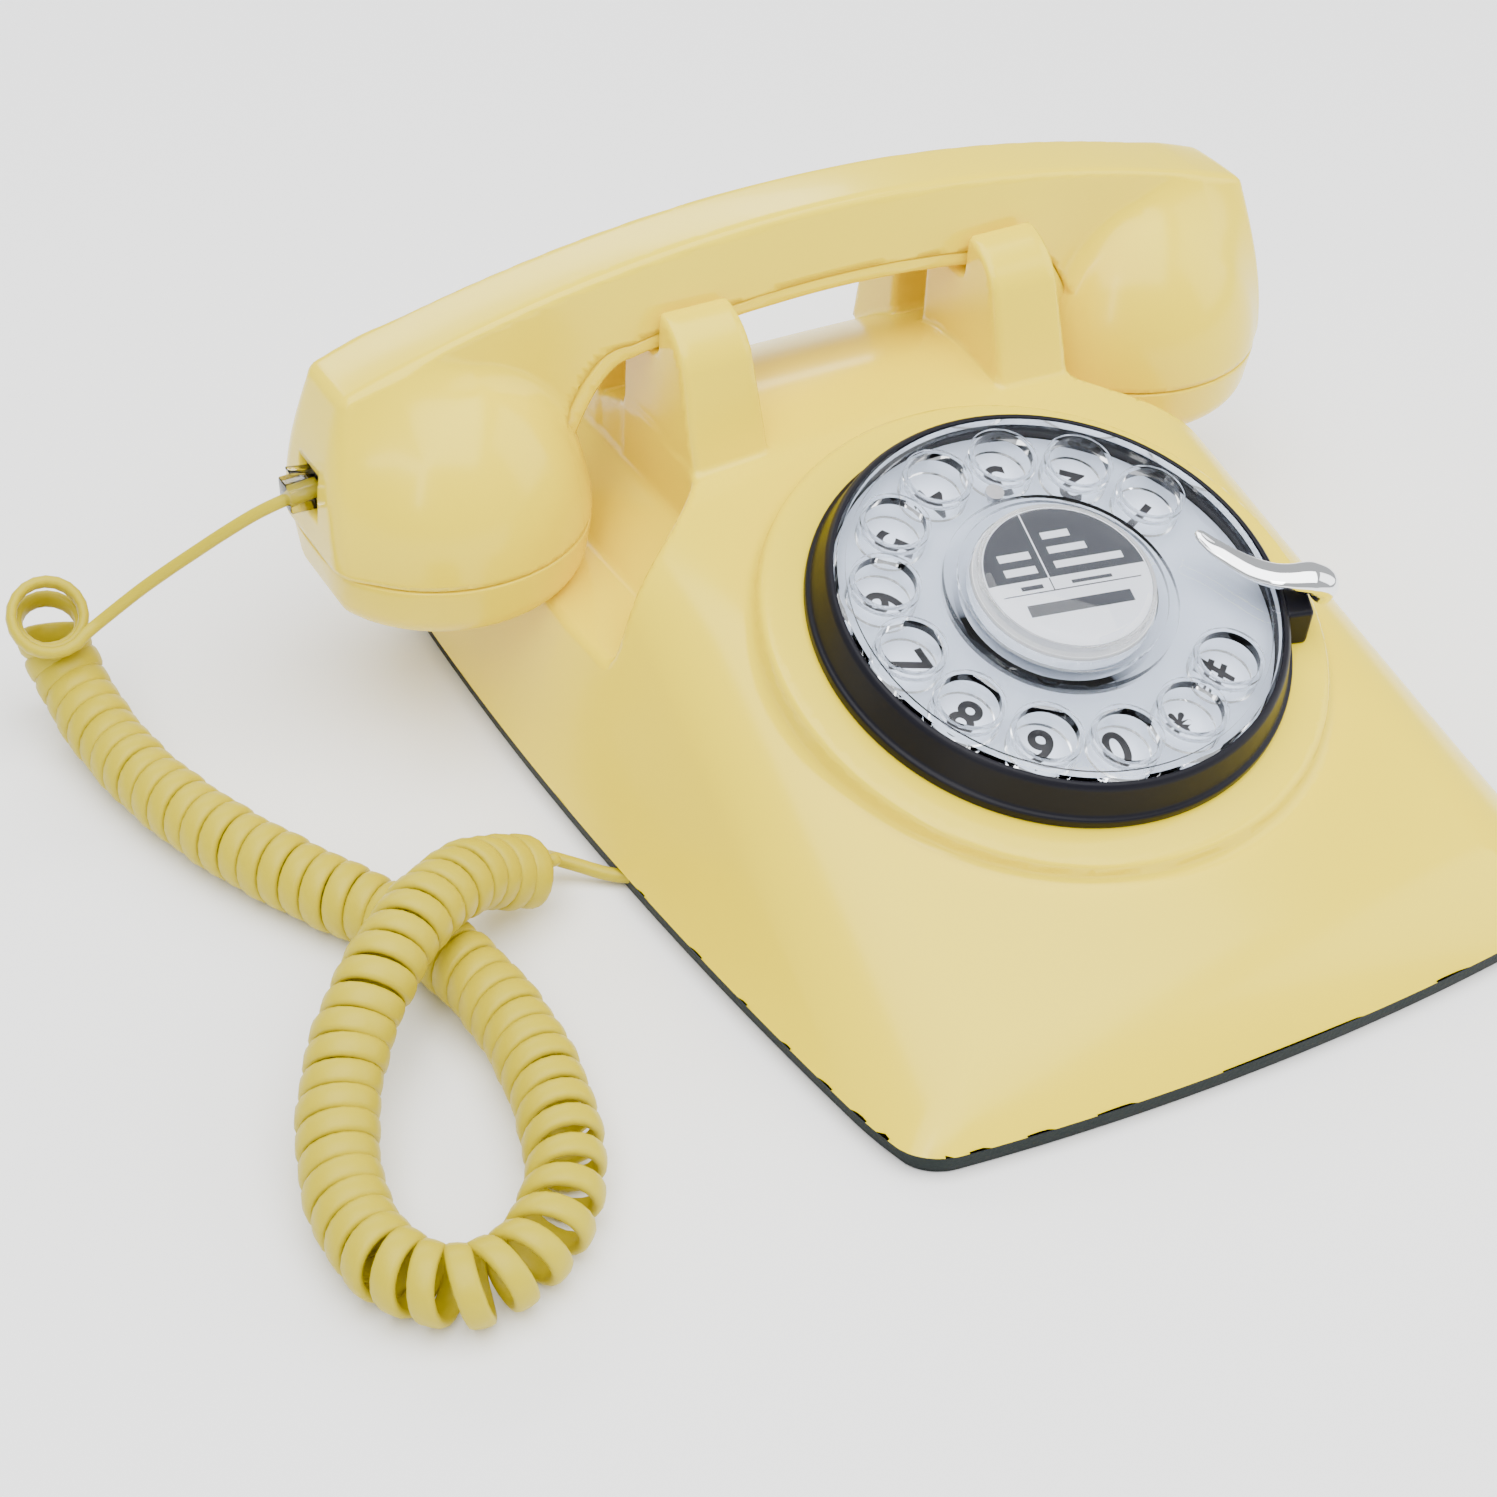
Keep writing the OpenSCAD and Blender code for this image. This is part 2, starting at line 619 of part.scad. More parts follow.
// Middle of the curly part, from its upper end round the loop to its lower end
coil_route = [
    [-165, 97, 27], [-165, 87, 17], [-164, 74, 10], [-160, 53, 7.6], [-153, 31, 7.6],
    [-143, 10, 7.6], [-135, -4, 7.6], [-129, -18, 7.6], [-126, -34, 7.6], [-126, -52, 7.6],
    [-129, -69, 7.6], [-136, -83, 7.6], [-148, -93, 7.6], [-162, -95, 7.6], [-172, -86, 7.6],
    [-174, -71, 8], [-170, -56, 11], [-161, -42, 16], [-149, -32, 21], [-136, -22, 23.5],
    [-123, -13, 21.5], [-112, -8, 15], [-104, -8, 9.5]
];
// Lead from the handset's plug down to the curly part
upper_lead = [
    [-124, 71, 58], [-129, 71, 57.5], [-135, 71, 55], [-141, 72, 51.5], [-147, 75, 46.5],
    [-153, 81, 41], [-158, 89, 35], [-161, 97, 30.5]
];
// Lead from the curly part under the edge of the housing to the base plug
lower_lead = [
    [-106.2, -3.1, 10.4], [-103, -0.6, 8.4], [-98.5, -0.8, 6], [-93.5, -3.5, 4], [-88.5, -7.5, 2.7],
    [-84, -10.5, 2.7], [-79, -12, 3.9]
];

// Smooth curve through a list of points, steps points per span
function spline(p, steps) = concat(
    [for (i = [0:len(p) - 2], k = [0:steps - 1])
        let (a = p[max(i - 1, 0)], b = p[i], c = p[i + 1], d = p[min(i + 2, len(p) - 1)], t = k / steps)
        0.5 * (2 * b + (c - a) * t + (2 * a - 5 * b + 4 * c - d) * t * t
            + (3 * b - a - 3 * c + d) * t * t * t)],
    [p[len(p) - 1]]);

function unit(v) = v / norm(v);

// Round skin along points with one radius per point
module sweep(path, radii, sides) {
    m = len(path);
    loft([for (i = [0:m - 1])
        let (t = unit(path[min(i + 1, m - 1)] - path[max(i - 1, 0)]),
            u = unit(cross(abs(t[2]) < 0.9 ? [0, 0, 1] : [0, 1, 0], t)), v = cross(t, u))
        [for (j = [0:sides - 1])
            path[i] - radii[i] * (cos(360 * j / sides) * u - sin(360 * j / sides) * v)]]);
}

module cord_coil() color(cord_yellow) {
    path = spline(coil_route, 2);
    sweep(path, [for (p = path) coil_d / 2], 10);
}

module cord_lead_handset() color(cord_yellow) {
    path = spline(upper_lead, 2);
    sweep(path, [for (p = path) lead_d / 2], 8);
}

module cord_lead_base() color(cord_yellow) {
    path = spline(lower_lead, 2);
    sweep(path, [for (p = path) lead_d / 2], 8);
}

housing();
base_plate();
rubber_feet();
housing_screws();
ballast_weight();
dial_ring();
number_plate();
finger_wheel();
wheel_screw();
dial_shaft();
dial_bush();
dial_plate();
dial_plate_screws();
return_spring();
drive_gear();
governor_pinion();
governor_drum();
governor_bridge();
button_cap();
button_stem();
label_card();
label_window();
button_switch();
finger_stop();
finger_stop_bracket();
finger_stop_screw();
hook_plungers();
hook_bar();
hook_spring();
hook_post();
hook_switch();
circuit_board();
loudspeaker();
ringer_frame();
bell_gongs();
gong_screws();
ringer_coil();
clapper();
line_jack();
base_jack();
handset_shell();
handset_grip();
ear_cap();
mouth_cap();
ear_capsule();
mouth_capsule();
handset_weight();
handset_jack();
handset_plug();
base_plug();
cord_coil();
cord_lead_handset();
cord_lead_base();
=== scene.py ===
import json
import math

import bmesh
import bpy
import numpy as np
from mathutils import Matrix, Vector


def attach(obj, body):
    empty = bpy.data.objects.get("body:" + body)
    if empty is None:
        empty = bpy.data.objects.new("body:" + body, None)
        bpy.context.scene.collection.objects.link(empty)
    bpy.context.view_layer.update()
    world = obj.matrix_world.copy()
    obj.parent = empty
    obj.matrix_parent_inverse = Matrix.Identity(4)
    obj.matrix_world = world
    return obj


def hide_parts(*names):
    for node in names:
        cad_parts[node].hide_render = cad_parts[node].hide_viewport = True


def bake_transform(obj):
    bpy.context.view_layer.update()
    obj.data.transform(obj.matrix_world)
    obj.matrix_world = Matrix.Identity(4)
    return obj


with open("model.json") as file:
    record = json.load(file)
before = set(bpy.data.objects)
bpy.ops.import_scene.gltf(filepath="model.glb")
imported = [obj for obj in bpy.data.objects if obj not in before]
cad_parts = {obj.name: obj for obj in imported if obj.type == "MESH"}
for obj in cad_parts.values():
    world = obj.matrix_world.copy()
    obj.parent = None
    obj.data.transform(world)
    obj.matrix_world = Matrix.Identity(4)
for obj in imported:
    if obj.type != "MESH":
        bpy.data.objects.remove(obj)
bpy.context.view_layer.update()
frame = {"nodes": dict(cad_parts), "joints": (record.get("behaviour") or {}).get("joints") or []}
nodes = frame["nodes"]
mm = 0.001
print("frame loaded,", len(nodes), "nodes")

# Camera, at eye height over the front left corner of the desk
view = {
    "place": (-277.9, -396.4, 369.1),
    "azimuth": -29.55,
    "elevation": 37.75,
    "roll": 1.37,
    "lens": 68.92,
}


def addCamera():
    azimuth, elevation, roll = (math.radians(view[k]) for k in ("azimuth", "elevation", "roll"))
    back = Vector((math.sin(azimuth) * math.cos(elevation), -math.cos(azimuth) * math.cos(elevation),
                   math.sin(elevation)))
    level = Vector((math.cos(azimuth), math.sin(azimuth), 0))
    upright = back.cross(level)
    right = level * math.cos(roll) + upright * math.sin(roll)
    up = upright * math.cos(roll) - level * math.sin(roll)
    data = bpy.data.cameras.new("deskCamera")
    data.lens = view["lens"]
    data.sensor_width = 36
    camera = bpy.data.objects.new("deskCamera", data)
    bpy.context.scene.collection.objects.link(camera)
    camera.matrix_world = Matrix.Translation(Vector(view["place"]) * mm) @ Matrix(
        (right, up, back)).transposed().to_4x4()
    bpy.context.scene.camera = camera


addCamera()
print("camera placed")


# Mesh helpers; lengths are in millimetres until addPiece turns them into metres
def addPiece(name, points, faces, material=None, matrix=None, normals=None):
    points = np.asarray(points, float)
    if matrix is not None:
        points = points @ np.array(matrix)[:3, :3].T + np.array(matrix)[:3, 3]
    mesh = bpy.data.meshes.new(name)
    mesh.from_pydata((points * mm).tolist(), [], [list(map(int, f)) for f in faces])
    mesh.update()
    mesh.shade_smooth()
    if normals is not None:
        mesh.normals_split_custom_set_from_vertices(normals.tolist())
    if material:
        mesh.materials.append(material)
    piece = bpy.data.objects.new(name, mesh)
    bpy.context.scene.collection.objects.link(piece)
    return piece


def finishPiece(piece, body, replaced=()):
    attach(piece, body)
    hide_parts(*replaced)
    return piece


def catmullRom(points, stepsPerSpan):
    points = [np.array(p, float) for p in points]
    curve = []
    for i in range(len(points) - 1):
        a, b = points[max(i - 1, 0)], points[i]
        c, d = points[i + 1], points[min(i + 2, len(points) - 1)]
        for k in range(stepsPerSpan):
            t = k / stepsPerSpan
            curve.append(0.5 * (2 * b + (c - a) * t + (2 * a - 5 * b + 4 * c - d) * t * t
                                + (3 * b - a - 3 * c + d) * t ** 3))
    curve.append(points[-1])
    return np.array(curve)


def unitRows(v):
    return v / np.maximum(np.linalg.norm(v, axis=-1, keepdims=True), 1e-9)


def evenlySpaced(curve, count):
    lengths = np.concatenate([[0], np.cumsum(np.linalg.norm(np.diff(curve, axis=0), axis=1))])
    at = np.linspace(0, lengths[-1], count)
    return np.stack([np.interp(at, lengths, curve[:, i]) for i in range(3)], 1), lengths[-1]


def carriedFrames(tangents, first):
    # side vectors carried along a curve without twist
    sides = []
    side = np.array(first, float)
    for t in tangents:
        side = side - t * side.dot(t)
        side = side / np.linalg.norm(side)
        sides.append(side)
    return np.array(sides)


def tubeMesh(path, sides, halfWidths, halfThicks, around, squareness=2.0):
    # rings of a rounded-rectangle section along path; sides points across the width
    tangents = unitRows(np.gradient(path, axis=0))
    sides = unitRows(sides - tangents * np.sum(sides * tangents, 1, keepdims=True))
    normals = np.cross(tangents, sides)
    angles = np.linspace(0, 2 * math.pi, around, endpoint=False)
    c, s = np.cos(angles), np.sin(angles)
    power = 2 / squareness
    c, s = np.sign(c) * np.abs(c) ** power, np.sign(s) * np.abs(s) ** power
    rings = (path[:, None, :]
             + sides[:, None, :] * (halfWidths[:, None] * c[None, :])[:, :, None]
             + normals[:, None, :] * (halfThicks[:, None] * s[None, :])[:, :, None])
    count = len(path)
    faces = [(i * around + j, i * around + (j + 1) % around, (i + 1) * around + (j + 1) % around,
              (i + 1) * around + j) for i in range(count - 1) for j in range(around)]
    faces += [tuple(range(around - 1, -1, -1)), tuple((count - 1) * around + j for j in range(around))]
    return rings.reshape(-1, 3), faces


# The curly cord: a flat strand wound in a long helix, with a straight lead at each end
cord = {
    "meanRadius": 6.2,
    "halfWidth": 2.42,
    "halfThick": 1.15,
    "leadRadius": 1.3,
    "pitch": 5.15,
    "loosePitch": 7.2,       # at the bottom of the loop, where the turns fan out
    "looseAt": 0.575,        # share of the coil's length
    "looseSpread": 0.07,
    "flare": 0.3,           # how much wider the free upper end is
    "pointsPerTurn": 20,
    "around": 12,
}
coilRoute = [
    (-167, 90, 29.5), (-166.5, 94, 25), (-166, 95, 19.5), (-165, 90.5, 13.8),
    (-164.3, 82, 10.2), (-163, 70, 8.4), (-160, 53, 7.9),
    (-153, 31, 7.9), (-143, 10, 7.9), (-135, -4, 7.9), (-129, -18, 7.9), (-126, -34, 7.9),
    (-126, -52, 7.9), (-129, -69, 7.9), (-135, -84, 7.9), (-146, -94.5, 7.9), (-159, -96.5, 7.9),
    (-168, -87, 7.9), (-169.5, -72, 8), (-165.5, -57, 11), (-157.5, -43.5, 16), (-147, -33, 21),
    (-135, -23, 22.5), (-122, -14, 19.5), (-112, -9, 13.5), (-104, -8, 9),
]
upperLead = [(-115, 68.5, 57.4), (-121, 69, 56.2), (-127, 71.5, 53), (-133, 74.5, 48.5), (-139, 78, 43.2),
             (-145, 81.2, 38), (-150.5, 83.8, 33.2)]
lowerLead = [(-98.5, -0.8, 6), (-93.5, -3.5, 4), (-88.5, -7.5, 2.7), (-84, -10.5, 2.7), (-79, -12, 3.9),
             (-74, -12, 4.6)]


def coilStrand():
    middle, length = evenlySpaced(catmullRom(coilRoute, 16), 1200)
    share = np.linspace(0, 1, len(middle))
    loose = np.exp(-((share - cord["looseAt"]) / cord["looseSpread"]) ** 2)
    pitch = cord["pitch"] + (cord["loosePitch"] - cord["pitch"]) * loose
    pitch = pitch * (1 - 0.3 * np.exp(-(share / 0.012) ** 2))
    turn = np.cumsum(length / len(middle) / pitch)
    turn -= turn[0]
    turns = turn[-1]
    dense = np.linspace(0, turns, int(turns * cord["pointsPerTurn"]))
    at = np.interp(dense, turn, share)
    axisPoints = np.stack([np.interp(at, share, middle[:, i]) for i in range(3)], 1)
    tangents = unitRows(np.gradient(axisPoints, axis=0))
    across = carriedFrames(tangents, (1, 0, 0.2))
    other = np.cross(tangents, across)
    flare = 1 + cord["flare"] * np.clip(1 - dense / 1.6, 0, 1) ** 1.5
    wobble = 1 + 0.025 * np.sin(dense * 2.1) + 0.02 * np.sin(dense * 0.37 + 1)
    radius = (cord["meanRadius"] * flare * wobble)[:, None]
    radius *= 1 - 0.55 * np.clip((dense[:, None] - turns + 0.8) / 0.8, 0, 1) ** 2
    angle = (2 * math.pi * dense + 0.96)[:, None]
    outward = across * np.cos(angle) + other * np.sin(angle)
    return axisPoints + outward * radius, tangents


def buildCord():
    strand, axes = coilStrand()
    first = unitRows(strand[0] - strand[2])
    last = unitRows(strand[-1] - strand[-3])
    upper = catmullRom(upperLead + [tuple(strand[0] + first * 4), tuple(strand[0])], 8)
    lower = catmullRom([tuple(strand[-1]), tuple(strand[-1] + last * 4)] + lowerLead, 8)
    upperFrames = carriedFrames(unitRows(np.gradient(upper, axis=0))[::-1], axes[0])[::-1]
    lowerFrames = carriedFrames(unitRows(np.gradient(lower, axis=0)), axes[-1])
    path = np.concatenate([upper[:-1], strand, lower[1:]])
    sides = np.concatenate([upperFrames[:-1], axes, lowerFrames[1:]])
    inCoil = np.arange(len(path)) - len(upper)
    ramp = np.clip(inCoil / 7, 0, 1) * np.clip((len(strand) - inCoil) / 12, 0, 1)
    widths = cord["leadRadius"] + (cord["halfWidth"] - cord["leadRadius"]) * ramp
    thicks = cord["leadRadius"] + (cord["halfThick"] - cord["leadRadius"]) * ramp
    points, faces = tubeMesh(path, sides, widths, thicks, cord["around"], 2.7)
    piece = addPiece("curlyCord", points, faces, cordPlastic)
    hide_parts("cord_coil", "cord_lead_handset", "cord_lead_base")
    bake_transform(piece)


# Shader groups shared by the moulded pieces
def newGroup(name, inputs, outputs):
    group = bpy.data.node_groups.new(name, "ShaderNodeTree")
    for label, kind, value in inputs:
        socket = group.interface.new_socket(label, in_out="INPUT", socket_type=kind)
        socket.default_value = value
    for label, kind in outputs:
        group.interface.new_socket(label, in_out="OUTPUT", socket_type=kind)
    return group, group.nodes.new("NodeGroupInput"), group.nodes.new("NodeGroupOutput")


def mathNode(tree, operation, *values):
    node = tree.nodes.new("ShaderNodeMath")
    node.operation = operation
    for i, value in enumerate(values):
        if isinstance(value, bpy.types.NodeSocket):
            tree.links.new(value, node.inputs[i])
        else:
            node.inputs[i].default_value = value
    return node.outputs[0]


def noiseNode(tree, scale, detail=2.0, roughness=0.5):
    place = tree.nodes.new("ShaderNodeTexCoord")
    noise = tree.nodes.new("ShaderNodeTexNoise")
    tree.links.new(place.outputs["Object"], noise.inputs["Vector"])
    if isinstance(scale, bpy.types.NodeSocket):
        tree.links.new(scale, noise.inputs["Scale"])
    else:
        noise.inputs["Scale"].default_value = scale
    noise.inputs["Detail"].default_value = detail
    noise.inputs["Roughness"].default_value = roughness
    return noise.outputs["Fac"]


def moulding():
    # faint flow marks, handling haze and fine surface ripple of injection-moulded plastic
    group, inputs, outputs = newGroup(
        "mouldedSurface",
        [("Color", "NodeSocketColor", (0.8, 0.8, 0.8, 1)), ("Tint", "NodeSocketFloat", 0.05),
         ("Roughness", "NodeSocketFloat", 0.25), ("Haze", "NodeSocketFloat", 0.06),
         ("Ripple Scale", "NodeSocketFloat", 300.0)],
        [("Color", "NodeSocketColor"), ("Roughness", "NodeSocketFloat"), ("Height", "NodeSocketFloat")])
    flow = noiseNode(group, 14.0, 3.0)
    haze = noiseNode(group, 46.0, 5.0, 0.62)
    ripple = noiseNode(group, inputs.outputs["Ripple Scale"], 2.0)
    drift = mathNode(group, "SUBTRACT", flow, 0.5)
    shade = mathNode(group, "MULTIPLY_ADD", drift, inputs.outputs["Tint"], 1.0)
    scaled = group.nodes.new("ShaderNodeVectorMath")
    scaled.operation = "SCALE"
    group.links.new(inputs.outputs["Color"], scaled.inputs[0])
    group.links.new(shade, scaled.inputs["Scale"])
    group.links.new(scaled.outputs[0], outputs.inputs["Color"])
    spread = mathNode(group, "SUBTRACT", haze, 0.45)
    rough = mathNode(group, "MULTIPLY_ADD", spread, inputs.outputs["Haze"], inputs.outputs["Roughness"])
    group.links.new(rough, outputs.inputs["Roughness"])
    group.links.new(ripple, outputs.inputs["Height"])
    return group


mouldedSurface = moulding()


def plasticMaterial(name, color, roughness, tint=0.05, haze=0.08, ripple=300.0, bump=0.02, **sockets):
    material = bpy.data.materials.new(name)
    material.use_nodes = True
    tree = material.node_tree
    shader = tree.nodes["Principled BSDF"]
    surface = tree.nodes.new("ShaderNodeGroup")
    surface.node_tree = mouldedSurface
    surface.inputs["Color"].default_value = (*color, 1)
    surface.inputs["Tint"].default_value = tint
    surface.inputs["Roughness"].default_value = roughness
    surface.inputs["Haze"].default_value = haze
    surface.inputs["Ripple Scale"].default_value = ripple
    raised = tree.nodes.new("ShaderNodeBump")
    raised.inputs["Strength"].default_value = bump
    raised.inputs["Distance"].default_value = 0.0004
    tree.links.new(surface.outputs["Color"], shader.inputs["Base Color"])
    tree.links.new(surface.outputs["Roughness"], shader.inputs["Roughness"])
    tree.links.new(surface.outputs["Height"], raised.inputs["Height"])
    tree.links.new(raised.outputs["Normal"], shader.inputs["Normal"])
    for label, value in sockets.items():
        shader.inputs[label.replace("_", " ")].default_value = value
    material.diffuse_color = (*color, 1)
    return material


def clearMaterial(name, color, roughness):
    material = bpy.data.materials.new(name)
    material.use_nodes = True
    tree = material.node_tree
    shader = tree.nodes["Principled BSDF"]
    shader.inputs["Base Color"].default_value = (*color, 1)
    shader.inputs["Transmission Weight"].default_value = 1
    shader.inputs["IOR"].default_value = 1.38
    haze = noiseNode(tree, 120.0, 4.0, 0.6)
    rough = mathNode(tree, "MULTIPLY_ADD", haze, 0.03, roughness)
    tree.links.new(rough, shader.inputs["Roughness"])
    return material


yellowPlastic = plasticMaterial("yellowPlastic", (0.88, 0.67, 0.002), 0.22, tint=0.04, haze=0.10,
                                ripple=160.0, bump=0.05, Coat_Weight=0.08, Coat_Roughness=0.06, Specular_IOR_Level=0.35)
cordPlastic = plasticMaterial("cordPlastic", (0.50, 0.40, 0.002), 0.42, tint=0.10, haze=0.15,
                              ripple=900.0, bump=0.12, Specular_IOR_Level=0.3)
blackPlastic = plasticMaterial("blackPlastic", (0.006, 0.006, 0.010), 0.38, haze=0.25, ripple=500.0,
                               bump=0.04, Specular_IOR_Level=0.14)
baseBlack = plasticMaterial("baseBlack", (0.008, 0.014, 0.013), 0.5, haze=0.2, ripple=1500.0, bump=0.25,
                            Specular_IOR_Level=0.2)
footRubber = plasticMaterial("footRubber", (0.015, 0.015, 0.015), 0.8, ripple=1800.0, bump=0.3)
plateWhite = plasticMaterial("plateWhite", (0.76, 0.84, 1.0), 0.45, tint=0.03, bump=0.02)
buttonWhite = plasticMaterial("buttonWhite", (0.80, 0.81, 0.83), 0.4, tint=0.03)
cardWhite = plasticMaterial("cardWhite", (0.92, 0.93, 0.99), 0.5, tint=0.03)
printDark = plasticMaterial("printDark", (0.040, 0.042, 0.055), 0.5, tint=0.15)
numeralBlack = plasticMaterial("numeralBlack", (0.008, 0.008, 0.012), 0.45, tint=0.1)
chrome = plasticMaterial("brightChrome", (0.88, 0.89, 0.91), 0.05, tint=0.02, haze=0.06,
                         bump=0.01, Metallic=1.0)
steel = plasticMaterial("satinSteel", (0.50, 0.50, 0.52), 0.32, tint=0.1, haze=0.25,
                        ripple=1200.0, bump=0.08, Metallic=1.0)
brass = plasticMaterial("satinBrass", (0.72, 0.50, 0.18), 0.28, tint=0.12, haze=0.25,
                        ripple=1200.0, bump=0.06, Metallic=1.0)
copper = plasticMaterial("coilCopper", (0.42, 0.13, 0.05), 0.35, tint=0.2, ripple=2500.0,
                         bump=0.4, Metallic=1.0)
boardGreen = plasticMaterial("boardGreen", (0.02, 0.13, 0.05), 0.35, tint=0.2)
clearPlastic = clearMaterial("clearPlastic", (0.97, 0.985, 1.0), 0.015)
plugClear = clearMaterial("plugClear", (0.93, 0.92, 0.86), 0.04)
print("materials made")


def buildPlug():
    # a modular plug: tapered clear body and a latch tab above it
    body = [(-6, -3.2, -2.9), (-6, 3.2, -2.9), (-6, 3.2, 2.6), (-6, -3.2, 2.6),
            (7, -3.3, -3.2), (7, 3.3, -3.2), (7, 3.3, 3.2), (7, -3.3, 3.2)]
    tab = [(-5, -1.5, 5.0), (-5, 1.5, 5.0), (-5, 1.5, 5.7), (-5, -1.5, 5.7),
           (6, -1.7, 3.0), (6, 1.7, 3.0), (6, 1.7, 3.8), (6, -1.7, 3.8)]
    sides = [(0, 1, 2, 3), (7, 6, 5, 4), (0, 4, 5, 1), (1, 5, 6, 2), (2, 6, 7, 3), (3, 7, 4, 0)]
    points = np.array(body + tab) + (-116, 68.5, 57.5)
    faces = sides + [tuple(k + 8 for k in f) for f in sides]
    piece = addPiece("handsetPlug", points, [f[::-1] for f in faces], plugClear)
    bevel = piece.modifiers.new("mouldedEdges", "BEVEL")
    bevel.width = 0.35 * mm
    bevel.segments = 3
    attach(piece, "handset")
    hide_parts("handset_plug")
    return piece


buildPlug()
buildCord()


# Rounded solids from distance fields: a field is negative inside, in millimetres
def roundedMax(radius, *fields):
    lead = fields[0]
    for field in fields[1:]:
        lead = np.maximum(lead, field)
    corner = sum(np.maximum(field + radius, 0) ** 2 for field in fields)
    return np.minimum(-radius, lead) + np.sqrt(corner)


def roundedMin(radius, *fields):
    return -roundedMax(radius, *(-field for field in fields))


def fieldSlope(field, points, reach=0.02):
    slope = np.empty_like(points)
    for i in range(3):
        ahead, behind = points.copy(), points.copy()
        ahead[:, i] += reach
        behind[:, i] -= reach
        slope[:, i] = (field(*ahead.T) - field(*behind.T)) / (2 * reach)
    return slope


def squareRim(field, rim, points, corner, step, floor):
    # puts the layer of points at a flat underside exactly on it, and those at its walls exactly on the walls
    layer = np.flatnonzero((corner[:, 2] < floor) & (corner[:, 2] + step > floor))
    top = corner[layer, 2] + step
    inside = [field(corner[layer, 0] + i * step, corner[layer, 1] + k * step, top) < 0
              for i in (0, 1) for k in (0, 1)]
    points[layer, 2] = floor
    edge = layer[~np.all(inside, 0)]
    for _ in range(5):
        slope = fieldSlope(rim, points[edge])[:, :2]
        move = rim(*points[edge].T)[:, None] * slope / np.maximum(np.sum(slope ** 2, 1, keepdims=True), 0.2)
        points[edge, :2] -= np.clip(move, -0.5 * step, 0.5 * step)


def surfaceOf(field, low, high, step, shading=None, rim=None, floor=0, relaxRounds=2):
    # one point per crossed cell, set where the walls that cross the cell meet, so that edges stay crisp
    axes = [np.arange(a, b + step, step) for a, b in zip(low, high)]
    values = field(*np.meshgrid(*axes, indexing="ij"))
    shape = np.array(values.shape)
    origin = np.array([a[0] for a in axes])
    quads, cells, spots, normals = [], [], [], []
    for axis in range(3):
        near = np.take(values, np.arange(shape[axis] - 1), axis)
        far = np.take(values, np.arange(1, shape[axis]), axis)
        pair = [(axis + 1) % 3, (axis + 2) % 3]
        at = np.argwhere((near < 0) != (far < 0))
        at = at[np.all((at[:, pair] > 0) & (at[:, pair] < shape[pair] - 1), 1)]
        first, last = near[tuple(at.T)], far[tuple(at.T)]
        spot = at.astype(float)
        spot[:, axis] += first / (first - last)
        spot = spot * step + origin
        normal = unitRows(fieldSlope(field, spot))
        corners = []
        for u, v in ((1, 1), (0, 1), (0, 0), (1, 0)):
            cell = at.copy()
            cell[:, pair[0]] -= u
            cell[:, pair[1]] -= v
            corners.append(np.ravel_multi_index(tuple(cell.T), tuple(shape)))
        quad = np.stack(corners, 1)
        cells.append(quad.T.ravel())
        spots.append(np.tile(spot, (4, 1)))
        normals.append(np.tile(normal, (4, 1)))
        flip = first >= 0
        quad[flip] = quad[flip][:, ::-1]
        quads.append(quad)
    used, owner = np.unique(np.concatenate(cells), return_inverse=True)
    quads = np.searchsorted(used, np.concatenate(quads))
    spots, normals = np.concatenate(spots), np.concatenate(normals)

    def gathered(weights):
        return np.bincount(owner, weights, len(used))

    count = gathered(np.ones(len(owner)))
    middle = np.stack([gathered(spots[:, i]) for i in range(3)], 1) / count[:, None]
    lean = np.stack([gathered(normals[:, i]) for i in range(3)], 1) / count[:, None]
    matrix = np.zeros((len(used), 3, 3))
    for i in range(3):
        for k in range(3):
            matrix[:, i, k] = gathered(normals[:, i] * normals[:, k]) + 0.06 * (i == k)
    reach = np.sum(normals * (spots - middle[owner]), 1)
    goal = np.stack([gathered(normals[:, i] * reach) for i in range(3)], 1)
    points = middle + np.linalg.solve(matrix, goal[..., None])[..., 0]
    corner = np.stack(np.unravel_index(used, tuple(shape)), 1) * step + origin
    points = np.clip(points, corner, corner + step)
    smooth = np.linalg.norm(lean, axis=1) > 0.985
    for _ in range(relaxRounds):
        total, weight = np.zeros_like(points), np.zeros(len(points))
        for j in range(4):
            for k in (1, 3):
                np.add.at(total, quads[:, j], points[quads[:, (j + k) % 4]])
                np.add.at(weight, quads[:, j], 1)
        points[smooth] = 0.5 * (points + total / weight[:, None])[smooth]
        for _ in range(2):
            slope = fieldSlope(field, points)
            move = field(*points.T)[:, None] * slope / np.maximum(np.sum(slope ** 2, 1, keepdims=True), 0.05)
            points = points - np.clip(move, -0.6 * step, 0.6 * step)
    if rim:
        squareRim(field, rim, points, corner, step, floor)
    return points, quads, unitRows(fieldSlope(shading or field, points, 0.3))


def addShell(name, field, low, high, step, material, **options):
    points, quads, normals = surfaceOf(field, low, high, step, **options)
    piece = addPiece(name, points, quads, material, normals=normals)
    print(name, len(quads), "quads")
    return piece


# The dial's own frame: origin at its middle on the bezel, Z along its axis
dialJoint = [j for j in frame["joints"] if j["name"] == "dial_turn"][0]
dialOrigin = np.array(dialJoint["pos_m"]) / mm
dialAxis = np.array(dialJoint["axis"])
dialUp = np.array([0, dialAxis[2], -dialAxis[1]])
dialMatrix = Matrix(((1, 0, 0), tuple(dialUp), tuple(dialAxis))).transposed().to_4x4()
dialMatrix.translation = Vector(dialOrigin)

